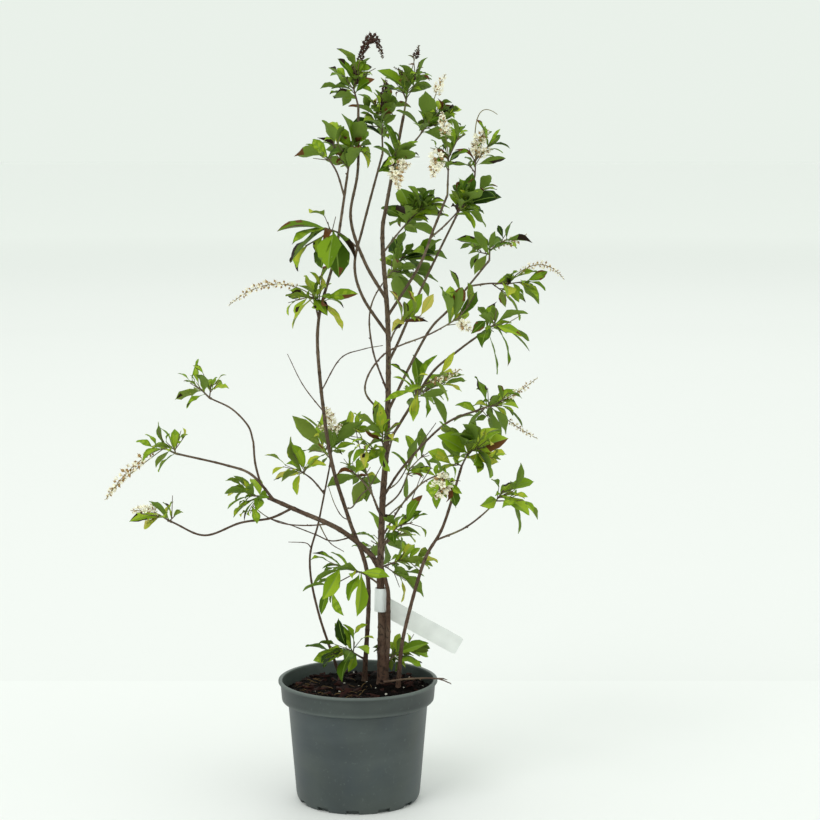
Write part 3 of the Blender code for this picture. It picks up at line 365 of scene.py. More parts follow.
# A spike is (control place, end place, thickness in mm, what it bears)
MASSES = [
    Mass("top_left", "left_leader", None, [(-0.2, -3, 78.8)], (-0.9, -3, 79.6), (2.5, 2.6, 3.1), 9, 3.2,
         ("middle", 0.35, 2.6, 1.2), spikes=(((1.6, -3, 87.4), (2.9, -3, 81.9), 2.6, "dry"),)),
    Mass("top_centre", "inner_left_bough", None, [(2.7, 5, 75.6)], (2.5, 5, 76.1), (3, 2.8, 3.7), 10, 3.7,
         ("dark", 0.35, 3.4, 1), spikes=(((2.9, 4.8, 78), (3.2, 4.6, 79.8), 2.2, "dry"),)),
    Mass("top_right", "leader", None, [(5.6, 1, 78.9)], (5.6, 1, 79.5), (2.8, 2.5, 3.1), 9, 3.4,
         ("dark", 0.3, 2.6, 0.95), spikes=(((6.1, 1, 81.5), (6.8, 1, 83.4), 2, "dry"),)),
    Mass("top_branch", "leader", 70.8, [(6.4, -0.6, 73.2), (7.8, -2, 75.1)], (7.9, -2, 75.4), (2.9, 2.7, 3),
         8, 3.4, ("dark", 0.4, 4.6, 1.1), spikes=(((8.4, -2, 78.5), (9.6, -2.1, 80.2), 3.2, "cream"),)),
    Mass("left_shoot", "tall_left_stem", 67.3, [(-2, -5.2, 70), (-3.2, -6.6, 71.8)], (-3.3, -7, 72.6),
         (2.8, 2.4, 2.6), 5, 4.2, ("middle", 0.15, 1.2, 1)),
    Mass("upper_left", "tall_left_stem", None, [(-0.4, -4.4, 72.6)], (-0.4, -4.3, 71.6), (2.5, 2.6, 4.2), 9,
         4.6, ("dark", 0.5, 3.6, 1.25), droop=0.3),
    Mass("upper_front", "leader", 66.8, [(3.8, -1.8, 69.2), (4.1, -4.4, 71.4)], (3.9, -4.6, 72),
         (2.8, 2.5, 2.9), 7, 3.7, ("dark", 0.4, 2.6, 0.95), spikes=(((4.2, -6.6, 70.6), (4.6, -6.4, 68.2),
         5, "cream"),)),
    Mass("upper_right_near", "inner_right_bough", 62.8, [(9.6, -2.6, 64.2), (11.6, -3.6, 66.4)],
         (12.2, -3.8, 67.2), (3, 3, 2.9), 10, 4.6, ("dark", 0.45, 2.8, 0.95)),
    Mass("upper_right_far", "upper_right_bough", None, [(12.9, 9, 68.4), (13.2, 9, 71)], (13.2, 9, 71.6),
         (3.2, 3.1, 3.9), 11, 3.7, ("dark", 0.5, 0.4, 0.55), spikes=(((13.2, 8.6, 73.8), (14.6, 8.2, 74.3),
         4, "cream"), ((12.6, 9, 78.4), (15.6, 9, 76.1), 1, "bare"))),
    Mass("upper_right_inner", "inner_right_bough", None, [(9.9, -5, 71.4)], (9.8, -5.2, 72.9),
         (2.4, 2.6, 2.6), 8, 3.4, ("dark", 0.45, 1.8, 0.85), spikes=(((9.5, -5, 74.6), (9.2, -5.4, 76.2),
         3.6, "cream"), ((8.6, -7.4, 72.6), (8.2, -7, 69.4), 5, "cream"))),
    Mass("centre_high", "leader", 61, [(4.4, 1.5, 63), (6.2, 2, 65)], (6.4, 2, 65.3), (3.1, 3, 3.1), 9, 4.6,
         ("dark", 0.2, 3.8, 1.25)),
    Mass("centre_low", "leader", 45.5, [(1.6, 3.3, 50.5), (1.6, 5.4, 55.3), (5, 8.6, 60.2)], (6, 9, 59.4),
         (3.5, 3.3, 3.9), 10, 5.4, ("dark", 0.15, 2.4, 1.15), droop=0.35),
    Mass("left_drooping", "left_leader", 61.5, [(-1.5, -3.2, 63.2), (-3.2, -5.4, 64)], (-3.9, -6, 62.9),
         (4.1, 3.5, 3.6), 8, 5.6, ("dark", 0.6, 0.5, 1.15), droop=0.45),
    Mass("left_flowering", "tall_left_stem", 54, [(-4.6, -3.2, 56.6)], (-3.3, -3, 55.4), (4, 3.7, 4), 10,
         4.4, ("bright", 0.25, 1.2, 0.8), droop=0.3, spikes=(((-9, -3.4, 59.6), (-13.7, -3, 55.6),
         2.6, "tan"),)),
    Mass("right_high", "right_bough", None, [(14.7, 5.2, 61.4)], (15, 5.8, 61.6), (3.9, 3.1, 2.9), 8, 3.8,
         ("dark", 0.2, 1.4, 0.8), spikes=(((17, 6, 61.8), (18.8, 6, 62.8), 2.6, "tan"),)),
    Mass("right_outer", "right_bough", 57.2, [(14.6, 2, 57.6), (16.4, 1, 57.6)], (17, 1, 57.2),
         (3.8, 3.2, 2.9), 9, 4, ("middle", 0.25, 1.8, 0.85), spikes=(((20, 0.4, 61.6), (22.6, 0, 58.2),
         2.2, "tan"),)),
    Mass("centre_right", "leader", 42.9, [(0.9, -2, 46.3), (3, -4.6, 50.4), (7.9, -7.8, 52.9),
         (10.8, -8.6, 54.6)], (10.6, -8.2, 56), (2.8, 2.7, 3.5), 5, 4.8, ("middle", 0.3, 0.8, 0.7),
         spikes=(((11.4, -9, 54), (12.2, -9.2, 53.4), 3.6, "cream"),)),
    Mass("right_mid", "front_right_bough", None, [(14.2, -9, 53.8)], (14.2, -9.4, 53), (3.9, 3.3, 3.8), 9,
         4.8, ("middle", 0.35, 1, 0.75), droop=0.2),
    Mass("yellow_spray", "leader", 50.8, [(4.2, -2, 52.8), (5.2, -4.2, 54)], (5.6, -4.6, 54.6),
         (3.3, 2.8, 2.9), 5, 5.2, ("yellow", 0.6, 1, 0.75)),
    Mass("rosette", "front_right_bough", 45.8, [(7.2, -5.8, 47.2)], (7.5, -6.9, 47.6), (3.8, 3.4, 3.5), 10,
         4.6, ("bright", 0.08, 0.7, 0.52), spikes=(((9.4, -8, 48.2), (11.2, -8, 49.2), 2.8, "tan"),)),
    Mass("right_outer_low", "low_right_bough", None, [(14.8, 6.8, 43.4)], (14.2, 7, 42.6), (4, 3.3, 3.6), 9,
         4.8, ("middle", 0.25, 2.2, 0.9), spikes=(((17.6, 7, 44.4), (20.2, 7, 46.6), 2.2, "tan"),
         ((17.8, 6.4, 41), (20.2, 6, 39.8), 2, "tan"))),
    Mass("right_low", "right_stem", None, [(12.1, -6.8, 40.2)], (12, -7, 39.8), (4.2, 3.5, 3.9), 9, 5.8,
         ("bright", 0.08, 2.2, 1.15), droop=0.35),
    Mass("left_mid", "rear_left_stem", None, [(-3, 7.4, 39.4)], (-3.2, 7.6, 39.2), (4, 3.7, 4.5), 11, 5.2,
         ("bright", 0.2, 2.4, 0.75)),
    Mass("left_mid_outer", "rear_left_stem", 33.6, [(-5.2, 4.4, 35.4), (-6.6, 3.4, 36.6)], (-7.2, 3, 37.1),
         (3.3, 2.7, 2.9), 5, 4.4, ("pale", 0.15, 1.6, 0.85)),
    Mass("centre_left", "leader", 31.8, [(1.2, 2.6, 34.6), (-0.9, 5.2, 36.4)], (-1, 5.4, 35.4),
         (2.9, 2.8, 3.7), 7, 5, ("bright", 0.2, 2.4, 0.95)),
    Mass("centre_front", "leader", 38.5, [(2.8, -2.8, 40.8)], (2, -3.6, 40.9), (2.5, 2.4, 4.6), 9, 4.4,
         ("bright", 0.3, 1.4, 0.8)),
    Mass("right_inner", "leader", 32.8, [(4.6, 3, 34), (5.8, 4.6, 36.6)], (6.2, 5, 37), (2.5, 2.5, 4.2), 8,
         4.8, ("middle", 0.3, 0.6, 0.65)),
    Mass("flower_low", "leader", 29.5, [(5, -2.4, 33.8), (7.2, -5.4, 36.6), (9.4, -8.6, 38.2)],
         (8.8, -8.9, 37.2), (2.8, 2.7, 3.3), 7, 4.6, ("middle", 0.35, 1.4, 0.8), spikes=(((9.4, -11, 38),
         (8.6, -10.4, 35.8), 6, "cream"),)),
    Mass("low_right_inner", "leader", 28.4, [(4.5, -2.8, 31.4)], (4.9, -3.6, 32), (2.4, 2.4, 3.1), 6, 4.6,
         ("middle", 0.35, 1, 0.8)),
    Mass("low_right", "leader", 26.2, [(4.8, 1.2, 26.8)], (5.5, 1.4, 26), (3, 2.8, 3.7), 9, 4.4,
         ("bright", 0.15, 1.4, 0.85)),
    Mass("low_left", "trunk", 24.2, [(0.6, -2.2, 26), (-1.8, -4, 27)], (-1.6, -4.2, 25.6), (4.2, 3.4, 3.5),
         9, 4.8, ("middle", 0.12, 0.9, 0.75), droop=0.35),
    Mass("right_hanging", "right_stem", 30, [(11.8, -4.9, 31.6), (14.4, -6.3, 34), (15.8, -7, 36)],
         (16, -7, 35), (3.2, 3, 4.2), 7, 4.2, ("middle", 0.35, 1.8, 0.9), droop=0.4),
    Mass("foot_left", "tall_left_stem", 15.2, [(-1.4, 0.4, 17)], (-1.7, 0, 16.9), (3.6, 3, 2.9), 9, 4.4,
         ("dark", 0.1, 1, 0.85)),
    Mass("foot_right", "trunk", 14.9, [(4.4, 1.4, 16.2)], (4.9, 1.6, 16.1), (3.1, 2.8, 2.1), 8, 4,
         ("middle", 0.1, 3.4, 1)),
    Mass("far_left_top", "curling_bough", None, [(-17.1, -2, 46.5)], (-17.2, -2, 46.9), (2.9, 2.5, 2.2), 7,
         3.4, ("bright", 0.45, 1.8, 0.9)),
    Mass("far_left_mid", "arching_bough", None, [(-20.2, -9, 40.9)], (-20.3, -9, 41), (2.8, 2.4, 2.2), 7,
         3.2, ("bright", 0.3, 1.6, 0.85), spikes=(((-23.4, -9.5, 40), (-26.5, -9, 35.4), 3.2, "tan"),)),
    Mass("far_left_low", "trailing_bough", None, [(-20.4, -12, 34.2)], (-20.6, -12, 34.1), (2.9, 2.2, 1.9),
         5, 3.4, ("pale", 0.3, 1.4, 0.8), spikes=(((-22, -12, 34.8), (-23.4, -12, 34.7), 3.8, "cream"),)),
    Mass("left_low", "left_bough", None, [(-11.3, -5.5, 35.2)], (-12, -5.5, 34.9), (2.7, 2.5, 2.3), 7, 3.6,
         ("bright", 0.12, 2.6, 0.95)),
    Mass("back_right", "leader", 37, [(3.9, 4, 40.3), (5.6, 8.8, 42.8), (7, 11.4, 44.4)], (7.3, 11.6, 44.2),
         (4, 3.7, 4), 8, 5, ("middle", 0.2, 0.5, 0.65)),
    Mass("back_low", "leader", 27.6, [(2.8, 4, 27.2), (2.9, 8.2, 27.8)], (2.9, 9, 27.4), (3.9, 3.6, 3.7), 8,
         4.8, ("middle", 0.15, 0.5, 0.65)),
]


# Routes

def smooth(places, steps):
    """Points on a smooth curve through the places, steps of them to each span."""
    spine = [2 * places[0] - places[1], *places, 2 * places[-1] - places[-2]]
    points = []
    for before, start, end, after in zip(spine, spine[1:], spine[2:], spine[3:]):
        for step in range(steps):
            t = step / steps
            bend = (2 * before - 5 * start + 4 * end - after) * t * t
            swing = (3 * start - before - 3 * end + after) * t * t * t
            points.append((2 * start + (end - before) * t + bend + swing) / 2)
    return [*points, places[-1]]


def at_height(points, height):
    """The point where a route first reaches this height."""
    for low, high in zip(points, points[1:]):
        if low.z <= height <= high.z:
            return low.lerp(high, (height - low.z) / (high.z - low.z))
    raise ValueError(f"the route never reaches {height / CM:.1f} cm")


def route_of(item, routes, steps=SPAN_STEPS):
    """A limb's or a stem's centre line, from the compost, its parent's side or its parent's tip."""
    places = [Vector(place) * CM for place in item.places]
    if item.parent == "soil":
        foot = Vector((places[0].x, places[0].y, SOIL_TOP + GAP))
        return [foot, *smooth([foot + Vector((0, 0, FOOT_LEAD)), *places[1:]], steps)]
    parent = routes[item.parent]
    if item.height is None:
        along = (parent[-1] - parent[-2]).normalized()
        return [parent[-1] + along * GAP, *smooth([parent[-1] + along * TIP_LEAD, *places], steps)]
    return smooth([at_height(parent, item.height * CM), *places], steps)


def taper(points, start, end):
    """A radius for each point, from start to end."""
    return [start + (end - start) * step / (len(points) - 1) for step in range(len(points))]


def limb_radii(limb, points):
    """The limb's taper, with the foot of a stem that rises from the compost widened."""
    start, end = (radius * MM for radius in limb.radii)
    radii = taper(points, start, end)
    if limb.parent != "soil":
        return radii
    flare = FLARE * start / (7 * MM)
    return [r + flare * math.exp(-(p.z - points[0].z) / FLARE_HEIGHT) for p, r in zip(points, radii)]


def bezier(start, control, end, steps):
    """Points on a curve that control bends."""
    points = []
    for step in range(steps + 1):
        t = step / steps
        points.append(start * (1 - t) ** 2 + control * 2 * t * (1 - t) + end * t * t)
    return points


# The rule that foliage grows by

class Obstacles:
    """Beads along every limb and stem, which a new twig or leaf keeps clear of."""

    def __init__(self):
        self.places, self.radii, self.owners = np.empty((0, 3)), np.empty(0), np.empty(0, int)

    def keep(self, owner, places, radii):
        """Adds beads at these places."""
        self.places = np.vstack((self.places, np.array(places)))
        self.radii = np.append(self.radii, radii)
        self.owners = np.append(self.owners, np.full(len(places), owner))

    def add_route(self, owner, points, radii):
        """Adds beads along a limb or a stem."""
        places, sizes = closer(points, radii, 2 * MM)
        self.keep(owner, places[:-1], sizes[:-1])

    def add_leaf(self, leaf):
        """Beads all over the outer part of a leaf, which later leaves keep off."""
        places, outer = [], 1 - LEAF_BARE
        ribs = max(2, round(outer * leaf["length"] / BEAD))
        for rib in range(ribs + 1):
            share = LEAF_BARE + outer * rib / ribs
            half = leaf["width"] / 2 * leaf_half(share)
            rows = round(half / BEAD)
            for row in range(-rows, rows + 1):
                across_rib = half * row / max(1, rows)
                spot = Vector((share * leaf["length"], across_rib, leaf_lift(share)))
                places.append(leaf["base"] + leaf["turn"] @ spot)
        self.keep(NO_OWNER, places, np.full(len(places), (LEAF_THICK - CLEARANCE) / 2))

    def seen_by(self, owner):
        """Places and radii of what isn't this owner's."""
        others = self.owners != owner
        return self.places[others], self.radii[others]


def twig_clear(start, end, radius, places, radii):
    """Whether every bead is off the straight twig."""
    line = np.array(end - start)
    along = np.clip((places - np.array(start)) @ line / (line @ line), 0, 1)
    away = np.linalg.norm(places - np.array(start) - along[:, None] * line, axis=1)
    return bool((away > radii + radius + CLEARANCE).all())


def leaf_half(share):
    """The leaf's half width at a share of its length, as a share of its greatest."""
    return np.interp(share, LEAF_SHARES, LEAF_HALVES)


def leaf_lift(share):
    """How high the leaf stands, arched along its length."""
    return 4 * share * (1 - share) * LEAF_ARCH * LEAF_THICK


def leaf_clear(leaf, places, radii, clearance=CLEARANCE):
    """Whether every bead is off the leaf's thin arched slab."""
    local = (places - np.array(leaf["base"])) @ np.array(leaf["turn"])
    room = radii + clearance
    share = local[:, 0] / leaf["length"]
    near = (local[:, 0] > -room) & (local[:, 0] < leaf["length"] + room)
    near &= np.abs(local[:, 1]) < leaf_half(share) * leaf["width"] / 2 + room
    near &= np.abs(local[:, 2] - leaf_lift(share)) < LEAF_THICK / 2 + room
    return not near.any()


def in_space(mass, points):
    """Whether the points lie in this mass's ellipsoid and nearer its middle than any other's."""
    centres = np.array([m.centre for m in MASSES]) * CM
    reaches = np.array([m.reach for m in MASSES]) * CM * SPREAD
    shares = (((np.array(points)[:, None] - centres) / reaches) ** 2).sum(axis=2)
    own = shares[:, MASSES.index(mass)].copy()
    shares[:, MASSES.index(mass)] = np.inf
    return bool((own <= 1).all() and (own + BORDER < shares.min(axis=1)).all())


def across(direction, angle):
    """A unit vector square to the direction, turned about it by the angle."""
    side = direction.orthogonal().normalized()
    return side * math.cos(angle) + direction.cross(side) * math.sin(angle)


def new_leaf(base, direction, shoot, length, roll):
    """A leaf's place as plain values: turn holds its length, width and upper-face directions."""
    up = (Vector((0, 0, 1)) + UP_WITH_SHOOT * shoot).normalized()
    level = up.cross(direction).normalized()
    width = level * math.cos(roll) + direction.cross(level) * math.sin(roll)
    turn = Matrix((direction, width, direction.cross(width))).transposed()
    base = base - direction * LEAF_SINK
    return {"base": base, "turn": turn, "length": length, "width": length * LEAF_WIDTH}


def leaf_corners(leaf):
    """The leaf's tip and the two corners of its waist."""
    base, turn = leaf["base"], leaf["turn"]
    waist = base + turn.col[0] * leaf["length"] * LEAF_SHARES[2]
    edge = turn.col[1] * leaf["width"] / 2
    return [base + turn.col[0] * leaf["length"], waist + edge, waist - edge]


def before_tip(stem, distance):
    """The point this far back along the stem from its tip."""
    for end, start in zip(stem[:0:-1], stem[-2::-1]):
        if distance <= (end - start).length:
            return end.lerp(start, distance / (end - start).length)
        distance -= (end - start).length
    return stem[1].copy()


def side_twigs(mass, stem, rng, places, radii):
    """Twigs that leave the stem for places spread evenly through the mass's space."""
    twigs = []
    wanted = round(mass.leaves / LEAVES_A_TWIG)
    along = (stem[-1] - stem[-3]).normalized()
    for number in range(TRIES_A_TWIG * wanted):
        if len(twigs) == wanted:
            break
        level = 1 - 2 * ((number + 0.5) / wanted % 1)
        turn = number * GOLDEN_TURN + rng.uniform(-TWIG_SWAY, TWIG_SWAY)
        ring = math.sqrt(1 - level * level)
        aim = (ring * math.cos(turn), ring * math.sin(turn), level)
        share = rng.uniform(*TWIG_SHARE)
        end = Vector([(c + a * r * share) * CM for c, a, r in zip(mass.centre, aim, mass.reach)])
        beyond = (end - stem[-1]).dot(along)
        beside = (end - stem[-1] - along * beyond).length
        start = before_tip(stem, max(0, TWIG_RISE * beside - beyond))
        long_enough = (end - start).length > LEAF_SPACING * 2
        if long_enough and in_space(mass, [end]) and twig_clear(start, end, TWIG_R, places, radii):
            twigs.append((start, end))
    return twigs


def mass_leaves(mass, shoots, rng, obstacles):
    """Leaves in a spiral down each shoot from its tip, where they fit."""
    leaves = []
    for number in range(TRIES_A_LEAF * mass.leaves):
        if len(leaves) == mass.leaves:
            break
        places, radii = obstacles.seen_by(MASSES.index(mass))
        start, end = shoots[number % len(shoots)]
        along = (end - start).normalized()
        down = LEAF_SPACING * (number // len(shoots) % LEAVES_A_TWIG + rng.uniform(*NODE_SWAY))
        up_shoot = max(0.05, 1 - down / (end - start).length)
        lean = math.radians(LEAN - LEAN_LESS * up_shoot + rng.uniform(-LEAN_SWAY, LEAN_SWAY))
        turn = number // len(shoots) * GOLDEN_TURN + rng.uniform(-TURN_SWAY, TURN_SWAY)
        out = across(along, turn)
        direction = along * math.cos(lean) + out * math.sin(lean)
        direction = (direction - Vector((0, 0, mass.droop + rng.uniform(*DROOP_SWAY)))).normalized()
        if abs(direction.z) > STEEPEST:
            continue
        length = mass.leaf * CM * rng.uniform(*LEAF_SIZES)
        roll = rng.uniform(-LEAF_ROLL, LEAF_ROLL)
        for cut_back in LEAF_CUTS:
            leaf = new_leaf(start.lerp(end, up_shoot), direction, along, length * cut_back, roll)
            if in_space(mass, leaf_corners(leaf)) and leaf_clear(leaf, places, radii):
                leaves.append(leaf)
                obstacles.add_leaf(leaf)
                break
    return leaves


def grow(mass, stem, obstacles):
    """The twigs and leaves of one mass."""
    rng = random.Random(mass.name)
    places, radii = obstacles.seen_by(MASSES.index(mass))
    twigs = side_twigs(mass, stem, rng, places, radii)
    shoots = [(stem[-3], stem[-1]), *twigs]
    return twigs, mass_leaves(mass, shoots, rng, obstacles)


# Finer growth: the same rule carried on, each mass from a seed of its own

def young_growth(mass, stem, twigs, obstacles):
    """Twiglets from the coarse twigs, and young leaves at every shoot's tip and along it."""
    rng = random.Random(mass.name + " young")
    shoots, twiglets, leaves = [(stem[-3], stem[-1]), *twigs], [], []
    places, radii = obstacles.seen_by(MASSES.index(mass))
    for start, end in [shoot for shoot in shoots for _ in range(TWIGLETS_A_SHOOT)]:
        along = (end - start).normalized()
        root = start.lerp(end, rng.uniform(*TWIGLET_ROOT))
        out = across(along, rng.uniform(0, math.tau))
        tip = root + (along + out * rng.uniform(*TWIGLET_OUT)) * rng.uniform(*TWIGLET_LONG)
        if in_space(mass, [tip]) and twig_clear(root + out * 3 * MM, tip, TWIGLET_R, places, radii):
            twiglets.append((root, tip))
    wanted = round(mass.leaves * mass.spray[2])
    shoots += twiglets
    for number in range(TRIES_A_LEAF * wanted):
        if len(leaves) == wanted:
            break
        places, radii = obstacles.seen_by(MASSES.index(mass))
        start, end = shoots[number % len(shoots)]
        along = (end - start).normalized()
        back = rng.uniform(0, 1) ** 2
        lean = math.radians(rng.uniform(*YOUNG_LEAN) + YOUNG_LEAN_BACK * back)
        out = across(along, number * GOLDEN_TURN)
        direction = along * math.cos(lean) + out * math.sin(lean)
        direction = (direction - Vector((0, 0, mass.droop * rng.uniform(0, 1)))).normalized()
        if abs(direction.z) > STEEPEST:
            continue
        length = mass.leaf * CM * rng.uniform(*YOUNG_SIZES)
        roll = rng.uniform(-YOUNG_ROLL, YOUNG_ROLL)
        leaf = new_leaf(end.lerp(start, back * YOUNG_STRETCH), direction, along, length, roll)
        clear = leaf_clear(leaf, places, radii, YOUNG_CLEARANCE)
        if clear and in_space(mass, leaf_corners(leaf)):
            leaves.append(leaf)
            obstacles.add_leaf(leaf)
    return twiglets, leaves


class Shrub:
    """Every route, twig and leaf, grown once and then shared by the operators."""

    grown = None

    def __init__(self):
        self.routes, self.fine, obstacles = {}, {}, Obstacles()
        for limb in LIMBS:
            self.routes[limb.name] = route_of(limb, self.routes)
            self.fine[limb.name] = route_of(limb, self.routes, FINE_STEPS)
            obstacles.add_route(NO_OWNER, self.routes[limb.name],
                                limb_radii(limb, self.routes[limb.name]))
        for number, mass in enumerate(MASSES):
            stem = self.routes[mass.name] = route_of(mass, self.routes)
            self.fine[mass.name] = route_of(mass, self.routes, FINE_STEPS)
            obstacles.add_route(number, stem, taper(stem, STEM_R, STEM_TIP_R))
        self.twigs, self.leaves, self.twiglets, self.young = {}, {}, {}, {}
        for mass in MASSES:
            stem = self.routes[mass.name]
            self.twigs[mass.name], self.leaves[mass.name] = grow(mass, stem, obstacles)
        for mass in MASSES:
            stem, twigs = self.routes[mass.name], self.twigs[mass.name]
            self.twiglets[mass.name], self.young[mass.name] = young_growth(mass, stem, twigs, obstacles)

    @classmethod
    def get(cls):
        """The shrub, grown the first time that it is asked for."""
        if cls.grown is None:
            cls.grown = cls()
        return cls.grown


# Node trees

class Graph:
    """A shader or Geometry Nodes tree, and one way to add any node to it."""

    def __init__(self, tree):
        self.tree = tree

    def node(self, kind, settings=None, values=None):
        """A node of this type: its settings are set first, then its sockets' values or links."""
        node = self.tree.nodes.new(kind)
        for name, value in (settings or {}).items():
            setattr(node, name, value)
        for socket, value in (values or {}).items():
            self.feed(node.inputs[socket], value)
        return node

    def feed(self, socket, value):
        """Links the socket to a value that is a socket, or else sets it."""
        value = getattr(value, "socket", value)
        if isinstance(value, bpy.types.NodeSocket):
            self.tree.links.new(value, socket)
        else:
            socket.default_value = value

    def maths(self, operation, *values, clamp=False):
        """The result of one maths node."""
        settings = {"operation": operation, "use_clamp": clamp}
        return self.node("ShaderNodeMath", settings, dict(enumerate(values))).outputs[0]


class Number:
    """A number's socket, so that shader maths reads as plain sums."""

    def __init__(self, graph, socket):
        self.graph, self.socket = graph, socket

    def maths(self, operation, *values, clamp=False):
        return Number(self.graph, self.graph.maths(operation, *values, clamp=clamp))

    def __add__(self, other):
        return self.maths("ADD", self, other)

    def __sub__(self, other):
        return self.maths("SUBTRACT", self, other)

    def __mul__(self, other):
        return self.maths("MULTIPLY", self, other)

    def __rsub__(self, other):
        return self.maths("SUBTRACT", other, self)

    __radd__ = __add__
    __rmul__ = __mul__

    def above(self, start, end):
        """0 below start, 1 above end, and a straight ramp between."""
        return self.maths("ADD", (self - start) * (1 / (end - start)), 0, clamp=True)


def opaque(colour):
    """A plain colour with its alpha. A socket stays as it is."""
    return (*colour, 1) if hasattr(colour, "__len__") and len(colour) == 3 else colour


class Finish(Graph):
    """A material on a Principled shader, with the patterns that the pieces share."""

    def __init__(self, name, colour, roughness, specular=0.5):
        self.material = bpy.data.materials.new(name)
        self.material.use_nodes = True
        super().__init__(self.material.node_tree)
        self.shader = self.tree.nodes["Principled BSDF"]
        self.colour(colour)
        self.rough(roughness)
        self.shader.inputs["Metallic"].default_value = 0
        self.shader.inputs["Specular IOR Level"].default_value = specular

    def colour(self, value):
        """Sets the base colour, plain or from a socket."""
        self.feed(self.shader.inputs["Base Color"], opaque(value))

    def rough(self, value):
        """Sets the roughness."""
        self.feed(self.shader.inputs["Roughness"], value)

    def place(self, stretch=(1, 1, 1), uv=False):
        """Object coordinates, or the piece's own UV map, stretched along each axis."""
        where = self.node("ShaderNodeTexCoord").outputs["UV" if uv else "Object"]
        settings = {"vector_type": "POINT"}
        return self.node("ShaderNodeMapping", settings, {"Vector": where, "Scale": stretch}).outputs[0]

    def along(self, axis):
        """The place along X, Y or Z, in metres."""
        return Number(self, self.node("ShaderNodeSeparateXYZ", values={0: self.place()}).outputs[axis])

    def radius(self):
        """The distance from the upright axis through the origin, in metres."""
        x, y = self.along("X"), self.along("Y")
        return Number(self, self.maths("SQRT", x * x + y * y))

    def noise(self, scale, detail=3.0, stretch=(1, 1, 1), uv=False, distortion=0.0):
        """Soft noise from 0 to 1."""
        values = {"Vector": self.place(stretch, uv), "Scale": scale, "Detail": detail,
                  "Distortion": distortion}
        return Number(self, self.node("ShaderNodeTexNoise", values=values).outputs["Fac"])

    def cells(self, scale):
        """Distance from the nearest of many scattered points, for grain and pits."""
        values = {"Vector": self.place(), "Scale": scale}
        return Number(self, self.node("ShaderNodeTexVoronoi", values=values).outputs["Distance"])

    def mix(self, share, first, second):
        """A colour between two, which may be plain colours or sockets."""
        values = {0: share, 6: opaque(first), 7: opaque(second)}
        return self.node("ShaderNodeMix", {"data_type": "RGBA"}, values).outputs[2]

    def bump(self, height, strength, distance, under=None):
        """Raises the surface by the height, over what another bump has raised."""
        values = {"Height": height, "Strength": strength, "Distance": distance}
        if under is not None:
            values["Normal"] = under
        normal = self.node("ShaderNodeBump", values=values).outputs[0]
        self.feed(self.shader.inputs["Normal"], normal)
        return normal


# Meshes

class Shape:
    """Points and faces gathered for one piece, with a tint number and UVs for each face. It may
    start with short tubes, each given by its points, radii and number of sides."""

    def __init__(self, *tubes):
        self.points, self.faces, self.tints, self.uvs = [], [], [], []
        for points, radii, sides in tubes:
            tube(self, [Vector(point) for point in points], radii, sides)

    def add(self, points, faces, tints=0, uvs=()):
        """Adds faces, of one tint or of a tint each."""
        first = len(self.points)
        self.points.extend(tuple(point) for point in points)
        self.faces.extend(tuple(first + corner for corner in face) for face in faces)
        self.tints.extend([tints] * len(faces) if isinstance(tints, int) else tints)
        self.uvs.extend(uvs)

    def mesh(self, name):
        """The points and faces as a plain mesh."""
        mesh = bpy.data.meshes.new(name)
        mesh.from_pydata(self.points, [], self.faces)
        return mesh

    def piece(self, name, materials, crease=math.radians(50)):
        """The finished object, smooth except where faces meet at more than crease."""
        mesh = self.mesh(name)
        if self.uvs:
            layer = mesh.uv_layers.new(name="along")
            layer.data.foreach_set("uv", np.array(self.uvs, np.float32).ravel())
        mesh.update(calc_edges=True)
        obj = as_piece(name, mesh, materials, crease)
        mesh.polygons.foreach_set("material_index", self.tints)
        return obj


def on_x(*places):
    """Points along X."""
    return [(x, 0, 0) for x in places]


def as_piece(name, mesh, materials, crease=math.radians(50)):
    """An object at the origin for this mesh, with its materials, in the scene."""
    mesh.name = name
    mesh.materials.clear()
    for finish in materials:
        mesh.materials.append(finish.material)
    mesh.shade_smooth()
    mesh.set_sharp_from_angle(angle=crease)
    obj = bpy.data.objects.new(name, mesh)
    bpy.context.scene.collection.objects.link(obj)
    return obj


def belongs(piece, slot, *nodes):
    """The piece rides with the shrub and stands for these nodes. The slot is not used."""
    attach(piece, "root")
    if nodes:
        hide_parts(*nodes)


def frames(points):
    """Two unit vectors square to the route at each point, carried along without a twist."""
    runs = [(b - a).normalized() for a, b in zip(points, points[1:])]
    runs = [runs[0], *[(a + b).normalized() for a, b in zip(runs, runs[1:])], runs[-1]]
    side, found = runs[0].orthogonal().normalized(), []
    for run in runs:
        side = (side - run * side.dot(run)).normalized()
        found.append((side, run.cross(side), run))
    return found


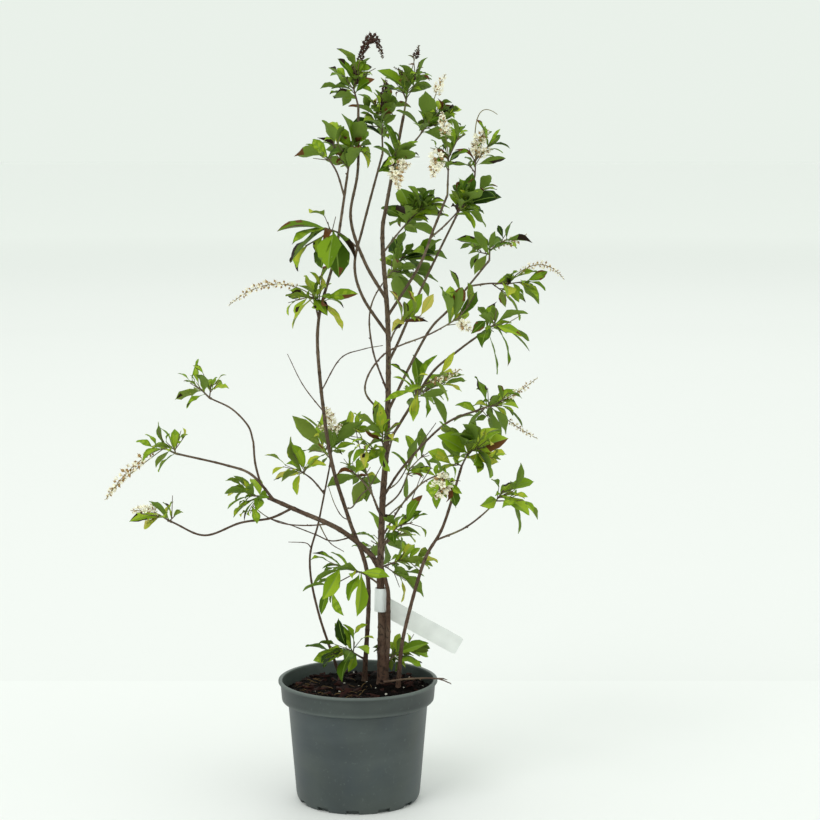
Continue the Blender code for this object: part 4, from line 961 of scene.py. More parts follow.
def tube(shape, points, radii, sides, relief=None):
    """Adds a closed tube with a rounded tip. relief(turn, distance) scales its radius."""
    ring, faces, uvs, lengths = [], [], [], [0.0]
    squares = frames(points)
    for a, b in zip(points, points[1:]):
        lengths.append(lengths[-1] + (b - a).length)
    for point, radius, (side, up, _), distance in zip(points, radii, squares, lengths):
        for step in range(sides):
            turn = math.tau * step / sides
            r = radius * (relief(turn, distance) if relief else 1)
            ring.append(point + (side * math.cos(turn) + up * math.sin(turn)) * r)
    foot, tip = len(ring), len(ring) + 1
    ring += [points[0], points[-1] + squares[-1][2] * radii[-1]]
    top = (len(points) - 1) * sides
    for row in range(len(points) - 1):
        for step in range(sides):
            after = (step + 1) % sides
            low, high = row * sides, (row + 1) * sides
            faces.append((low + step, low + after, high + after, high + step))
            u0, u1 = step / sides, (step + 1) / sides
            uvs += [(u0, lengths[row]), (u1, lengths[row]), (u1, lengths[row + 1]), (u0, lengths[row + 1])]
    for step in range(sides):
        after = (step + 1) % sides
        faces += [(foot, after, step), (tip, top + step, top + after)]
        u0, u1 = step / sides, (step + 1) / sides
        uvs += [(u0, 0), (u1, 0), (u0, 0), (u0, lengths[-1]), (u0, lengths[-1]), (u1, lengths[-1])]
    shape.add(ring, faces, uvs=uvs)


def knotty(points, radii, spacing, swell, seed):
    """Radii with small swellings at the old leaf scars, about spacing apart."""
    rng, made, distance, knot = random.Random(seed), [], 0.0, 0.0
    for index, radius in enumerate(radii):
        if index:
            distance += (points[index] - points[index - 1]).length
        while distance > knot + spacing / 2:
            knot += spacing * rng.uniform(0.7, 1.3)
        made.append(radius * (1 + swell * math.exp(-((distance - knot) / KNOT_LONG) ** 2)))
    return made


def closer(points, radii, step):
    """The route with a point at least every step, and its radii between."""
    made, sizes = [], []
    for a, b, r0, r1 in zip(points, points[1:], radii, radii[1:]):
        count = max(1, math.ceil((b - a).length / step))
        for number in range(count):
            made.append(a.lerp(b, number / count))
            sizes.append(r0 + (r1 - r0) * number / count)
    return [*made, points[-1]], [*sizes, radii[-1]]


def turned(profile, steps):
    """A closed profile of (radius, height), down its outer side, turned about Z."""
    points, faces, rings = [], [], {}
    for radius, height in profile:
        if (radius, height) not in rings:
            turns = [math.tau * step / steps for step in range(steps if radius else 1)]
            rings[radius, height] = [len(points) + step for step in range(len(turns))]
            points += [(radius * math.cos(turn), radius * math.sin(turn), height) for turn in turns]
    for start, end in zip(profile, profile[1:]):
        before, behind = rings[start], rings[end]
        for step in range(steps):
            corners = [ring[corner % len(ring)] for ring, corner in (
                (before, step), (behind, step), (behind, step + 1), (before, step + 1))]
            faces.append(tuple(dict.fromkeys(corners)))
    mesh = bpy.data.meshes.new("turned")
    mesh.from_pydata(points, [], faces)
    return mesh


def evaluated(obj):
    """The object's mesh with its modifiers, which are then removed with the object."""
    bpy.context.view_layer.update()
    graph = bpy.context.evaluated_depsgraph_get()
    mesh = bpy.data.meshes.new_from_object(obj.evaluated_get(graph))
    bpy.data.objects.remove(obj)
    return mesh


def as_mesh(bm):
    """The mesh of a BMesh that is then done with."""
    mesh = bpy.data.meshes.new("shape")
    bm.to_mesh(mesh)
    bm.free()
    return mesh


def helper(mesh):
    """An object for the mesh that only helps to make another."""
    obj = bpy.data.objects.new("helper", mesh)
    bpy.context.scene.collection.objects.link(obj)
    return obj


# Geometry Nodes

class Growth(Graph):
    """A Geometry Nodes tree that sets copies of one small shape on a mesh, with named inputs."""

    def __init__(self, name, *amounts):
        super().__init__(bpy.data.node_groups.new(name, "GeometryNodeTree"))
        kinds = {"Geometry": "Geometry", "Shape": "Object", **dict.fromkeys(amounts, "Float"),
                 "Seed": "Int", "Finish": "Material"}
        face, self.amounts, self.keys = self.tree.interface, amounts, {}
        for title, kind in kinds.items():
            made = face.new_socket(title, in_out="INPUT", socket_type="NodeSocket" + kind)
            self.keys[title] = made.identifier
        face.new_socket("Geometry", in_out="OUTPUT", socket_type="NodeSocketGeometry")
        self.start = self.node("NodeGroupInput").outputs

    def random(self, kind, low, high):
        """A value between two for each point, by the Seed input."""
        places = {"FLOAT_VECTOR": (0, 1, 0), "FLOAT": (2, 3, 1)}[kind]
        values = {places[0]: low, places[1]: high, "Seed": self.start["Seed"]}
        return self.node("FunctionNodeRandomValue", {"data_type": kind}, values).outputs[places[2]]

    def end(self, points, turn, size):
        """Copies on the points, Realize Instances and Set Material, then the tree's output."""
        shape = self.node("GeometryNodeObjectInfo", values={"Object": self.start["Shape"]})
        copies = self.node("GeometryNodeInstanceOnPoints", values={
            "Points": points, "Instance": shape.outputs["Geometry"], "Rotation": turn, "Scale": size})
        real = self.node("GeometryNodeRealizeInstances", values={"Geometry": copies.outputs[0]})
        painted = self.node("GeometryNodeSetMaterial", values={
            "Geometry": real.outputs[0], "Material": self.start["Finish"]})
        self.node("NodeGroupOutput", values={"Geometry": painted.outputs[0]})

    def spread(self, name, mesh, shape, amounts, seed, finish, slot, crease):
        """Makes the piece of this name: the shape's copies on the mesh, by these amounts."""
        source, obj = helper(shape), helper(mesh)
        modifier = obj.modifiers.new("Growth", "NODES")
        modifier.node_group = self.tree
        values = {"Shape": source, "Seed": seed, "Finish": finish.material}
        for title, value in (*values.items(), *zip(self.amounts, amounts)):
            modifier[self.keys[title]] = value
        grown = evaluated(obj)
        bpy.data.objects.remove(source)
        belongs(as_piece(name, grown, [finish], math.radians(crease)), slot)


def along_a_path():
    """Copies in a spiral along the paths, outwards from them, scaled by the points' thickness."""
    tree = Growth("along a path", "Spacing", "Size", "Lean")
    start = tree.start
    curve = tree.node("GeometryNodeMeshToCurve", values={"Mesh": start["Geometry"]}).outputs[0]
    spaced = tree.node("GeometryNodeResampleCurve", {"mode": "LENGTH"},
                       {"Curve": curve, "Length": start["Spacing"]}).outputs[0]
    run = tree.node("GeometryNodeInputTangent").outputs[0]
    turn = tree.node("FunctionNodeAlignRotationToVector", {"axis": "Z"}, {"Vector": run}).outputs[0]
    index = tree.node("GeometryNodeInputIndex").outputs[0]
    spin = tree.maths("MULTIPLY_ADD", index, GOLDEN_TURN, tree.random("FLOAT", -0.5, 0.5))
    lean = tree.maths("SUBTRACT", tree.random("FLOAT", -0.35, 0.35), start["Lean"])
    for axis, angle in (("Z", spin), ("Y", lean)):
        around = tree.node("ShaderNodeCombineXYZ", values={axis: angle}).outputs[0]
        turn = tree.node("FunctionNodeRotateRotation", {"rotation_space": "LOCAL"},
                         {"Rotation": turn, "Rotate By": around}).outputs[0]
    thick = tree.node("GeometryNodeInputNamedAttribute", {"data_type": "FLOAT"}, {"Name": "thick"})
    grown = tree.maths("MULTIPLY", thick.outputs["Attribute"], start["Size"])
    tree.end(spaced, turn, tree.maths("MULTIPLY", grown, tree.random("FLOAT", 0.7, 1.15)))
    return tree


def over_a_surface():
    """Copies strewn over the surface, lying nearly flat on it."""
    tree = Growth("over a surface", "Density", "Smallest", "Largest", "Tilt")
    start = tree.start
    strewn = tree.node("GeometryNodeDistributePointsOnFaces", {"distribute_method": "RANDOM"},
                       {"Mesh": start["Geometry"], "Density": start["Density"], "Seed": start["Seed"]})
    low = tree.maths("MULTIPLY", start["Tilt"], -1)
    least, most = [tree.node("ShaderNodeCombineXYZ", values={"X": tilt, "Y": tilt, "Z": turn}).outputs[0]
                   for tilt, turn in ((low, 0), (start["Tilt"], math.tau))]
    size = tree.random("FLOAT", start["Smallest"], start["Largest"])
    tree.end(strewn.outputs["Points"], tree.random("FLOAT_VECTOR", least, most), size)
    return tree


# Sizes and colours that a user would change

def srgb(red, green, blue):
    """A colour as a screen shows it, from 0 to 255, as the linear colour that shaders take."""
    return tuple(((c / 255 + 0.055) / 1.055) ** 2.4 for c in (red, green, blue))


def tone(name, description, default):
    """A colour that a user can change."""
    return FloatVectorProperty(name=name, description=description, default=default, subtype="COLOR",
                               size=3, min=0, max=1)


def length(name, description, default, most, least=0):
    """A length that a user can change."""
    return FloatProperty(name=name, description=description, default=default, min=least, max=most,
                         unit="LENGTH")


class PotSettings(bpy.types.PropertyGroup):
    plastic: tone("Plastic", "Colour of the moulded pot", srgb(56, 63, 61))
    # This pale colour paints the plastic's dust, streaks and scuffs, and also the painted highlight along the
    # lip's top.
    rubbed_and_lit: tone("Rubbed", "Colour where the plastic is rubbed pale", srgb(96, 105, 101))
    steps: IntProperty(name="Turning steps", description="Flats round the pot", default=120, min=32,
                       max=256)
    grain: length("Grain", "Depth of the plastic's grain", 0.12 * MM, 1 * MM)


class CompostSettings(bpy.types.PropertyGroup):
    damp: tone("Damp compost", "Colour of the compost", srgb(10, 8, 7))
    bark: tone("Bark chips", "Colour of the chips that mulch the top", srgb(58, 30, 25))
    straw: tone("Fibres", "Colour of the dry fibres", srgb(128, 104, 70))
    chips: FloatProperty(name="Chips a square metre", description="How thickly the bark chips lie",
                         default=5600, min=0, max=20000)
    chip: length("Largest chip", "Length of the longest bark chip", 21 * MM, 40 * MM, 4 * MM)
    roughness: length("Unevenness", "How far the surface rises and falls", 2.6 * MM, 6 * MM)


class LabelSettings(bpy.types.PropertyGroup):
    white: tone("Band", "Colour of the band round the trunk", srgb(236, 240, 240))
    tail: tone("Tail", "Colour of the thin tail", srgb(241, 244, 241))
    curl: length("Curl", "How far the tail's middle bows", 1.6 * MM, 4 * MM)


class WoodSettings(bpy.types.PropertyGroup):
    foot: tone("Foot", "Colour of the bark near the ground", srgb(84, 62, 50))
    aloft: tone("Aloft", "Colour of the boughs' bark", srgb(101, 85, 68))
    crack: tone("Cracks", "Colour in the bark's cracks", srgb(44, 32, 25))
    shoot: tone("Shoots", "Colour of the thin shoots", srgb(112, 98, 78))
    relief: FloatProperty(name="Relief", description="Depth of the bark's ridges, as a share of the radius",
                          default=0.07, min=0, max=0.2)
    knots: length("Knots", "Distance between old leaf scars", 19 * MM, 60 * MM, 5 * MM)


class LeafSettings(bpy.types.PropertyGroup):
    fresh: tone("Fresh", "Colour of the youngest leaves", srgb(146, 172, 42))
    bright: tone("Bright", "Colour of sunlit leaves", srgb(118, 148, 26))
    mid: tone("Middle", "Colour of most leaves", srgb(91, 121, 14))
    full: tone("Full", "Colour of grown leaves", srgb(66, 94, 10))
    # The deep tint is partly painted shade: besides dark grown leaves, it stands for leaves in the shade of
    # the foliage, and is never painted lit.
    deep: tone("Deep", "Colour of the darkest leaves", srgb(38, 60, 8))
    lime: tone("Lime", "Colour of leaves that begin to turn", srgb(172, 180, 52))
    yellow: tone("Yellow", "Colour of turned leaves", srgb(186, 178, 82))
    russet: tone("Russet", "Colour of reddened patches", srgb(104, 66, 34))
    withered: tone("Withered", "Colour of dead edges and tips", srgb(44, 31, 21))
    under: tone("Underside", "Colour of the leaves' paler backs", srgb(106, 130, 50))
    rib: tone("Midribs", "Colour of the leaves' midribs", srgb(122, 148, 62))
    wide: FloatProperty(name="Width", description="Width of a leaf as a share of the solid's", default=0.96,
                        min=0.5, max=1.5)
    browned: FloatProperty(name="Browned", description="Scales how many leaves have dead edges",
                           default=1.0, min=0, max=3)


class BlossomSettings(bpy.types.PropertyGroup):
    petal: tone("Petals", "Colour of the open florets", srgb(255, 252, 234))
    spent: tone("Spent cups", "Colour of the florets' cups once they fade", srgb(168, 136, 88))
    dry: tone("Dry cups", "Colour of the dried spikes", srgb(66, 42, 34))
    spacing: length("Spacing", "Distance between florets along a spike", 1.15 * MM, 5 * MM, 0.5 * MM)


class StageSettings(bpy.types.PropertyGroup):
    floor: tone("Floor", "Colour of the floor", (0.88, 0.88, 0.88))
    backdrop: tone("Backdrop", "Colour of the pale room", (0.85, 0.85, 0.85))
    distance: tone("Distance", "Colour that meets the sky unseen", (0.99, 0.99, 0.99))
    lens: FloatProperty(name="Lens", description="Focal length on a 36 mm sensor, in mm", default=94.26,
                        min=20, max=300)
    light: FloatProperty(name="Light", description="Power of the soft key light, in watts", default=235,
                         min=0, max=2000)


# Pot

def pot_profile():
    """Up the inside, over the rolled lip and the collar, and down the outside to the foot."""
    low = RIM_H - COLLAR_H
    inside = [(0, FLOOR), (HEEL_R - WALL - 2 * MM, FLOOR), (SHOULDER_R - WALL, low - 4 * MM),
              (COLLAR_R - WALL, low + WALL), (COLLAR_R - WALL, RIM_H - 0.6 * MM)]
    lip = [(COLLAR_R - WALL + 0.6 * MM, RIM_H), (RIM_R - 0.7 * MM, RIM_H),
           (RIM_R - 0.2 * MM, RIM_H - 0.3 * MM), (RIM_R, RIM_H - 0.9 * MM),
           (RIM_R, RIM_H - 2.3 * MM), (RIM_R - 0.4 * MM, RIM_H - 2.9 * MM),
           (COLLAR_R + 0.9 * MM, RIM_H - 3.3 * MM), (COLLAR_R + 0.3 * MM, RIM_H - 4.4 * MM)]
    collar = [(COLLAR_R + 0.1 * MM, RIM_H - 8 * MM), (COLLAR_R - 0.9 * MM, low + 3 * MM),
              (COLLAR_R - 1.3 * MM, low + 0.8 * MM), (COLLAR_R - 1.9 * MM, low + 0.1 * MM),
              (SHOULDER_R + 1.6 * MM, low - 0.1 * MM), (SHOULDER_R + 0.5 * MM, low - 0.7 * MM),
              (SHOULDER_R, low - 2 * MM)]
    wall = [(HEEL_R + (SHOULDER_R - HEEL_R) * share, 9 * MM + (low - 11 * MM) * share)
            for share in (0.8, 0.6, 0.4, 0.2, 0)]
    foot = [(HEEL_R - 0.8 * MM, 5 * MM), (BASE_R + 0.6 * MM, 1.2 * MM), (BASE_R, 0.5 * MM),
            (BASE_R - 0.5 * MM, 0), (0, 0)]
    return [*inside, *lip, *collar, *wall, *foot]


def notch_cutter():
    """The twelve drainage notches round the foot, as one mesh of boxes."""
    bm = bmesh.new()
    for number in range(NOTCHES):
        turn = Matrix.Rotation(math.radians(number * 360 / NOTCHES + NOTCH_TURN), 4, "Z")
        move = Matrix.Translation((HEEL_R + WALL, 0, 0))
        size = Matrix.Diagonal((2 * NOTCH_DEEP, NOTCH_WIDE, 2 * NOTCH_HIGH, 1))
        bmesh.ops.create_cube(bm, size=1, matrix=turn @ move @ size)
    return as_mesh(bm)


def plastic_finish(settings):
    """Moulded plastic: dusty clouds, streaks round the wall, a collar darkened as painted shade,
    a painted highlight along the lip's top, an inside paler below the lip, and scuffs."""
    finish = Finish("moulded plastic", settings.plastic, 0.45, specular=0.45)
    cloud = finish.noise(16, detail=4)
    broad = finish.noise(9, detail=3, distortion=0.6)
    flow = finish.noise(24, detail=4, stretch=(0.3, 0.3, 1.6), distortion=0.5)
    # Painted highlight: the top of the lip is painted pale, where light falls on the rim.
    lip = finish.along("Z").above(RIM_H - 3 * MM, RIM_H - 1 * MM)
    collar = finish.along("Z").above(RIM_H - COLLAR_H - 1 * MM, RIM_H - COLLAR_H + 2 * MM)
    scuff = finish.noise(240, detail=5).above(0.62, 0.72)
    foot = (1 - finish.along("Z").above(0, 3 * CM)) * cloud
    # The inside wall below the lip is painted paler in cloudy patches.
    inside = collar * (1 - finish.radius().above(COLLAR_R - WALL, COLLAR_R - WALL / 2)) * cloud
    pale = (lip * 0.6 + inside * 1.1 + cloud.above(0.35, 0.75) * 0.26 + flow.above(0.45, 0.75) * 0.14
            + scuff * 0.3 + foot * 0.26)
    wall = finish.mix(broad.above(0.36, 0.62), srgb(50, 59, 64), settings.plastic)
    # Painted shade: from the collar up the plastic is darkened in cloudy patches, standing in for the shade
    # that falls there.
    wall = finish.mix(collar * (0.55 + cloud * 0.35), wall, srgb(22, 30, 29))
    finish.colour(finish.mix(pale, wall, settings.rubbed_and_lit))
    finish.rough(0.38 + cloud * 0.16 + scuff * 0.2)
    under = finish.bump(flow, 0.25, 0.4 * MM)
    finish.bump(finish.noise(900, detail=2), 0.3, settings.grain, under)
    return finish


class SHRUB_OT_pot(bpy.types.Operator):
    """Turns the nursery pot and cuts its drainage notches"""

    bl_idname = "shrub.pot"
    bl_label = "Nursery pot"

    def execute(self, context):
        settings = context.scene.shrub_pot
        pot, cutter = helper(turned(pot_profile(), settings.steps)), helper(notch_cutter())
        cut = pot.modifiers.new("Notches", "BOOLEAN")
        cut.operation = "DIFFERENCE"
        cut.object = cutter
        mesh = evaluated(pot)
        bpy.data.objects.remove(cutter)
        finish = plastic_finish(settings)
        belongs(as_piece("nursery_pot", mesh, [finish], POT_CREASE), "pot", "pot")
        return {"FINISHED"}


# Compost

def mound(unevenness):
    """The compost, its top risen and lumpy, closed underneath inside the pot."""
    inner = COLLAR_R - WALL - GAP
    profile = []
    for ring in range(SOIL_RINGS + 1):
        radius = inner * ring / SOIL_RINGS
        fall = max(0, radius - SOIL_FLAT_R) / (inner - SOIL_FLAT_R)
        profile.append((radius, SOIL_TOP + (SOIL_EDGE - SOIL_TOP) * fall))
    low = RIM_H - COLLAR_H
    profile += [(inner, low + WALL + GAP), (SHOULDER_R - WALL - GAP, low - 4 * MM + GAP), (0, low - 4 * MM)]
    mesh = turned(profile, SOIL_STEPS)
    for vert in mesh.vertices:
        radius = math.hypot(vert.co.x, vert.co.y)
        if vert.co.z > low + 3 * MM:
            lump = noise.noise(vert.co * 90) + 0.6 * noise.noise(vert.co * 260) - 0.25
            edge = min(1, (inner - radius) / (4 * MM) + 0.2)
            away = math.hypot(vert.co.x - HEAP_PLACE[0], vert.co.y - HEAP_PLACE[1])
            vert.co.z += (unevenness * lump + HEAP_RISE * math.exp(-(away / HEAP_WIDE) ** 2)) * edge
    return mesh


def top_of(mesh, margin, patch=None):
    """Only the faces that look upwards, this far off the wall and in the patch, to strew things on."""
    rim = COLLAR_R - WALL - margin
    kept = []
    for face in mesh.polygons:
        place = face.center.xy
        outside = patch and (place - Vector(patch[:2])).length > patch[2]
        if face.normal.z > 0.5 and place.length < rim and not outside:
            kept.append(tuple(face.vertices))
    top = bpy.data.meshes.new("top")
    top.from_pydata([vert.co for vert in mesh.vertices], [], kept)
    return top


def chip_mesh():
    """A torn flake of bark, one unit long."""
    rng, bm = random.Random("chip"), bmesh.new()
    bmesh.ops.create_grid(bm, x_segments=3, y_segments=2, size=0.5)
    for vert in bm.verts:
        torn = rng.uniform(-0.07, 0.07)
        bow = 0.1 * (0.25 - vert.co.y ** 2) - 0.06 * vert.co.x
        vert.co = (vert.co.x + torn, vert.co.y * 0.42 + rng.uniform(-0.05, 0.05), bow)
    bmesh.ops.solidify(bm, geom=bm.faces, thickness=0.11)
    bmesh.ops.recalc_face_normals(bm, faces=bm.faces)
    return as_mesh(bm)


def crumb_mesh():
    """A rough crumb of compost, one unit across."""
    rng, bm = random.Random("crumb"), bmesh.new()
    bmesh.ops.create_icosphere(bm, subdivisions=1, radius=0.5)
    for vert in bm.verts:
        vert.co *= rng.uniform(0.7, 1.25)
        vert.co.z *= 0.7
    return as_mesh(bm)


def straw_mesh():
    """A bent fibre, one unit long."""
    points = [(x, 0.16 * math.sin(3 * x), 0.05 + 0.08 * math.sin(4 * x + 1))
              for x in (-0.5, -0.2, 0.1, 0.35, 0.5)]
    return Shape((points, (0.02, 0.026, 0.026, 0.02, 0.012), 4)).mesh("straw")


def compost_finish(settings):
    """Crumbly damp compost with paler and redder crumbs."""
    finish = Finish("damp compost", settings.damp, 0.95, specular=0.04)
    crumbs = finish.noise(420, detail=6)
    bits = finish.cells(520)
    brown = finish.mix(crumbs.above(0.42, 0.75), settings.damp, srgb(12, 8, 7))
    finish.colour(finish.mix(bits.above(0.5, 0.75) * 0.4, brown, srgb(24, 17, 13)))
    finish.rough(0.82 + crumbs * 0.16)
    finish.bump(crumbs + bits * 0.5, 0.9, 1.2 * MM)
    return finish


def chip_finish(settings):
    """Bark chips: reddish brown, streaked, no two quite alike."""
    finish = Finish("bark chips", settings.bark, 0.85, specular=0.1)
    patch = finish.noise(70, detail=2)
    streak = finish.noise(420, detail=5, stretch=(1, 0.3, 1))
    dark = finish.mix(patch.above(0.4, 0.68), srgb(20, 12, 11), settings.bark)
    finish.colour(finish.mix(streak.above(0.5, 0.8) * 0.3, dark, srgb(86, 51, 39)))
    finish.rough(0.72 + streak * 0.22)
    finish.bump(streak, 0.6, 0.5 * MM)
    return finish


def pale_finish(name, colour, scale):
    """A dry pale stuff with soft darker patches, for fibres and grains."""
    finish = Finish(name, colour, 0.8, specular=0.08)
    patch = finish.noise(scale, detail=3)
    darker = tuple(c * 0.55 for c in colour)
    finish.colour(finish.mix(patch.above(0.35, 0.7), darker, tuple(colour)))
    finish.rough(0.7 + patch * 0.2)
    finish.bump(patch, 0.3, 0.2 * MM)
    return finish


class SHRUB_OT_compost(bpy.types.Operator):
    """Fills the pot with compost and strews chips, crumbs and fibres on it"""

    bl_idname = "shrub.compost"
    bl_label = "Compost and bark chips"

    def execute(self, context):
        settings = context.scene.shrub_compost
        mesh = mound(settings.roughness)
        ground = mesh.copy()
        belongs(as_piece("compost", mesh, [compost_finish(settings)]), "soil", "soil")
        tree, chip = over_a_surface(), settings.chip
        strewn = [
            ("bark_chips", chip_mesh(), (settings.chips, 0.4 * chip, chip, 0.42), 3,
             chip_finish(settings)),
            ("compost_crumbs", crumb_mesh(), (40000, 1.2 * MM, 4.2 * MM, 0.6), 5,
             pale_finish("crumbs", srgb(15, 10, 8), 300)),
            ("fibres", straw_mesh(), (9000, 5 * MM, 15 * MM, 0.4), 8,
             pale_finish("fibres", settings.straw, 160)),
            ("pale_grains", crumb_mesh(), (700, 1.6 * MM, 3.4 * MM, 0.5), 4,
             pale_finish("pale grains", srgb(226, 222, 210), 700)),
        ]
        for name, shape, amounts, seed, finish in strewn:
            patch = FIBRE_PATCH if name == "fibres" else None
            top = top_of(ground, amounts[2] * 0.6 + 1 * MM, patch)
            tree.spread(name, top, shape, amounts, seed, finish, "soil", 30)
        return {"FINISHED"}


# Label

def label_finish(name, colour):
    """Soft blank plastic, a little cloudy and creased."""
    finish = Finish(name, colour, 0.42, specular=0.4)
    cloud = finish.noise(60, detail=4)
    crease = finish.noise(24, detail=3, stretch=(1, 1, 0.4), distortion=0.8)
    darker = tuple(c * 0.86 for c in colour)
    finish.colour(finish.mix(cloud.above(0.3, 0.75), darker, tuple(colour)))
    finish.rough(0.34 + cloud * 0.2)
    finish.bump(crease, 0.3, 0.5 * MM)
    return finish


def tail_shape(middle, curl):
    """The thin tail, bowed a little, with its far corners eased."""
    shape, steps, rows = Shape(), TAIL_STEPS, TAIL_ROWS
    turn = (Matrix.Rotation(TAIL_BACK, 3, "Z") @ Matrix.Rotation(TAIL_FALL, 3, "Y"))
    root = Vector((middle.x + TAIL_ROOT, middle.y + BAND_R - LABEL_THICK / 2, TAIL_ROOT_H))
    points = []
    for side in (0.5, -0.5):
        for step in range(steps + 1):
            share = step / steps
            rounding = 1 - TAIL_NARROWER * max(0, (share - TAIL_EASED) / (1 - TAIL_EASED)) ** 2
            for row in range(rows):
                wide = (row / (rows - 1) - 0.5) * TAIL_WIDE * rounding
                bow = curl * math.sin(math.pi * share) + 0.5 * MM * math.sin(9 * share + 2 * wide / TAIL_WIDE)
                spot = Vector((share * TAIL_LONG, side * LABEL_THICK * 0.6 + bow, wide))
                points.append(root + turn @ spot)
    sheet = (steps + 1) * rows
    faces = []
    for step in range(steps):
        for row in range(rows - 1):
            a, b = step * rows + row, (step + 1) * rows + row
            faces.append((a, a + 1, b + 1, b))
            faces.append((sheet + a, sheet + b, sheet + b + 1, sheet + a + 1))
        for row, flip in ((0, False), (rows - 1, True)):
            a, b = step * rows + row, (step + 1) * rows + row
            edge = (a, b, sheet + b, sheet + a)
            faces.append(edge[::-1] if flip else edge)
    for step, flip in ((0, True), (steps, False)):
        for row in range(rows - 1):
            a = step * rows + row
            edge = (a, a + 1, sheet + a + 1, sheet + a)
            faces.append(edge[::-1] if flip else edge)
    shape.add(points, faces)
    return shape


class SHRUB_OT_label(bpy.types.Operator):
    """Wraps the blank label round the trunk and hangs its tail"""

    bl_idname = "shrub.label"
    bl_label = "Blank label"

    def execute(self, context):
        settings = context.scene.shrub_label
        middle = at_height(Shrub.get().routes["trunk"], (BAND_LOW + BAND_HIGH) / 2)
        high = BAND_HIGH - BAND_LOW
        inner, inner_top = BAND_R - LABEL_THICK, BAND_TOP_R - LABEL_THICK
        profile = [(inner, 0), (inner_top, high), (BAND_TOP_R - 0.2 * MM, high),
                   (BAND_TOP_R, high - 0.3 * MM), (BAND_R, 0.3 * MM), (BAND_R - 0.2 * MM, 0), (inner, 0)]
        band = turned(profile, BAND_STEPS)
        band.transform(Matrix.Translation((middle.x, middle.y, BAND_LOW)))
        white, pale = label_finish("label band", settings.white), label_finish("label tail", settings.tail)
        belongs(as_piece("label_band", band, [white], LABEL_CREASE), "label", "label")
        tail = tail_shape(middle, settings.curl)
        belongs(tail.piece("label_tail", [pale], LABEL_CREASE), "label", "label")
        return {"FINISHED"}


# Wood

def bark_finish(settings):
    """Bark: reddish near the ground and greyer aloft, with cracks and paler patches all along."""
    finish = Finish("bark", settings.aloft, 0.8, specular=0.25)
    height = finish.along("Z")
    strip = finish.noise(7, detail=6, stretch=(1.2, 28, 1), uv=True, distortion=0.6)
    fine = finish.noise(26, detail=5, stretch=(1, 30, 1), uv=True)
    patch = finish.noise(30, detail=3)
    wood = finish.mix(height.above(20 * CM, 55 * CM), settings.foot, settings.aloft)
    pale = finish.mix(patch.above(0.5, 0.75) * 0.5, wood, srgb(142, 124, 106))
    finish.colour(finish.mix((1 - strip.above(0.36, 0.52)) * 0.85, pale, settings.crack))
    finish.rough(0.68 + fine * 0.25)
    under = finish.bump(strip, 0.7, 0.7 * MM)
    finish.bump(fine, 0.35, 0.25 * MM, under)
    return finish


def shoot_finish(settings):
    """The smooth bark of thin shoots, brown-grey with greener stretches."""
    finish = Finish("shoots", settings.shoot, 0.62, specular=0.3)
    patch = finish.noise(34, detail=3)
    spots = finish.noise(700, detail=2)
    wood = finish.mix(patch.above(0.42, 0.66), srgb(84, 64, 52), settings.shoot)
    green = finish.mix(patch.above(0.6, 0.72) * 0.6, wood, srgb(116, 118, 62))
    finish.colour(finish.mix(spots.above(0.6, 0.7) * 0.4, green, srgb(60, 44, 38)))
    finish.rough(0.52 + patch * 0.2)
    finish.bump(spots, 0.2, 0.15 * MM)
    return finish


def bark_relief(seed, depth):
    """How the bark's ridges change a limb's radius round it and along it."""
    start = Vector((random.Random(seed).uniform(0, 90), 0, 0))

    def relief(turn, distance):
        ridge = Vector((1.7 * math.cos(turn), 1.7 * math.sin(turn), distance * 38))
        fine = Vector((4 * math.cos(turn), 4 * math.sin(turn), distance * 160))
        return 1 + depth * (noise.noise(start + ridge) + 0.5 * noise.noise(start + fine))
    return relief


def add_bark(shape, name, points, radii, sides, settings):
    """Adds knotty, ridged bark along one route. Its name seeds the knots and the ridges."""
    points, radii = closer(points, radii, BARK_STEP)
    radii = knotty(points, radii, settings.knots, BARK_KNOT, name)
    radii = [radius * SLIMMER.get(name, 1) for radius in radii]
    tube(shape, points, radii, sides, bark_relief(name, settings.relief))


class SHRUB_OT_wood(bpy.types.Operator):
    """Grows the bark of the stems and boughs in the solids' places"""

    bl_idname = "shrub.wood"
    bl_label = "Stems and boughs"

    def execute(self, context):
        settings = context.scene.shrub_wood
        shrub = Shrub.get()
        finish = bark_finish(settings)
        stems = [limb for limb in LIMBS if limb.parent == "soil" or limb.name == "leader"]
        boughs = [limb for limb in LIMBS if limb not in stems]
        for name, limbs in (("stems", stems), ("boughs", boughs)):
            shape = Shape()
            for limb in limbs:
                route, sides = shrub.fine[limb.name], BARK_SIDES[limb.radii[0] > THICK_LIMB]
                add_bark(shape, limb.name, route, limb_radii(limb, route), sides, settings)
            if name == "stems":
                (thick, thin), places = SPLIT_STEM
                route = smooth([Vector(place) * CM for place in places], FINE_STEPS)
                radii = taper(route, thick * MM, thin * MM)
                add_bark(shape, "split stem", route, radii, SPLIT_SIDES, settings)
            belongs(shape.piece(name, [finish]), "bark", *[limb.name for limb in limbs])
        return {"FINISHED"}


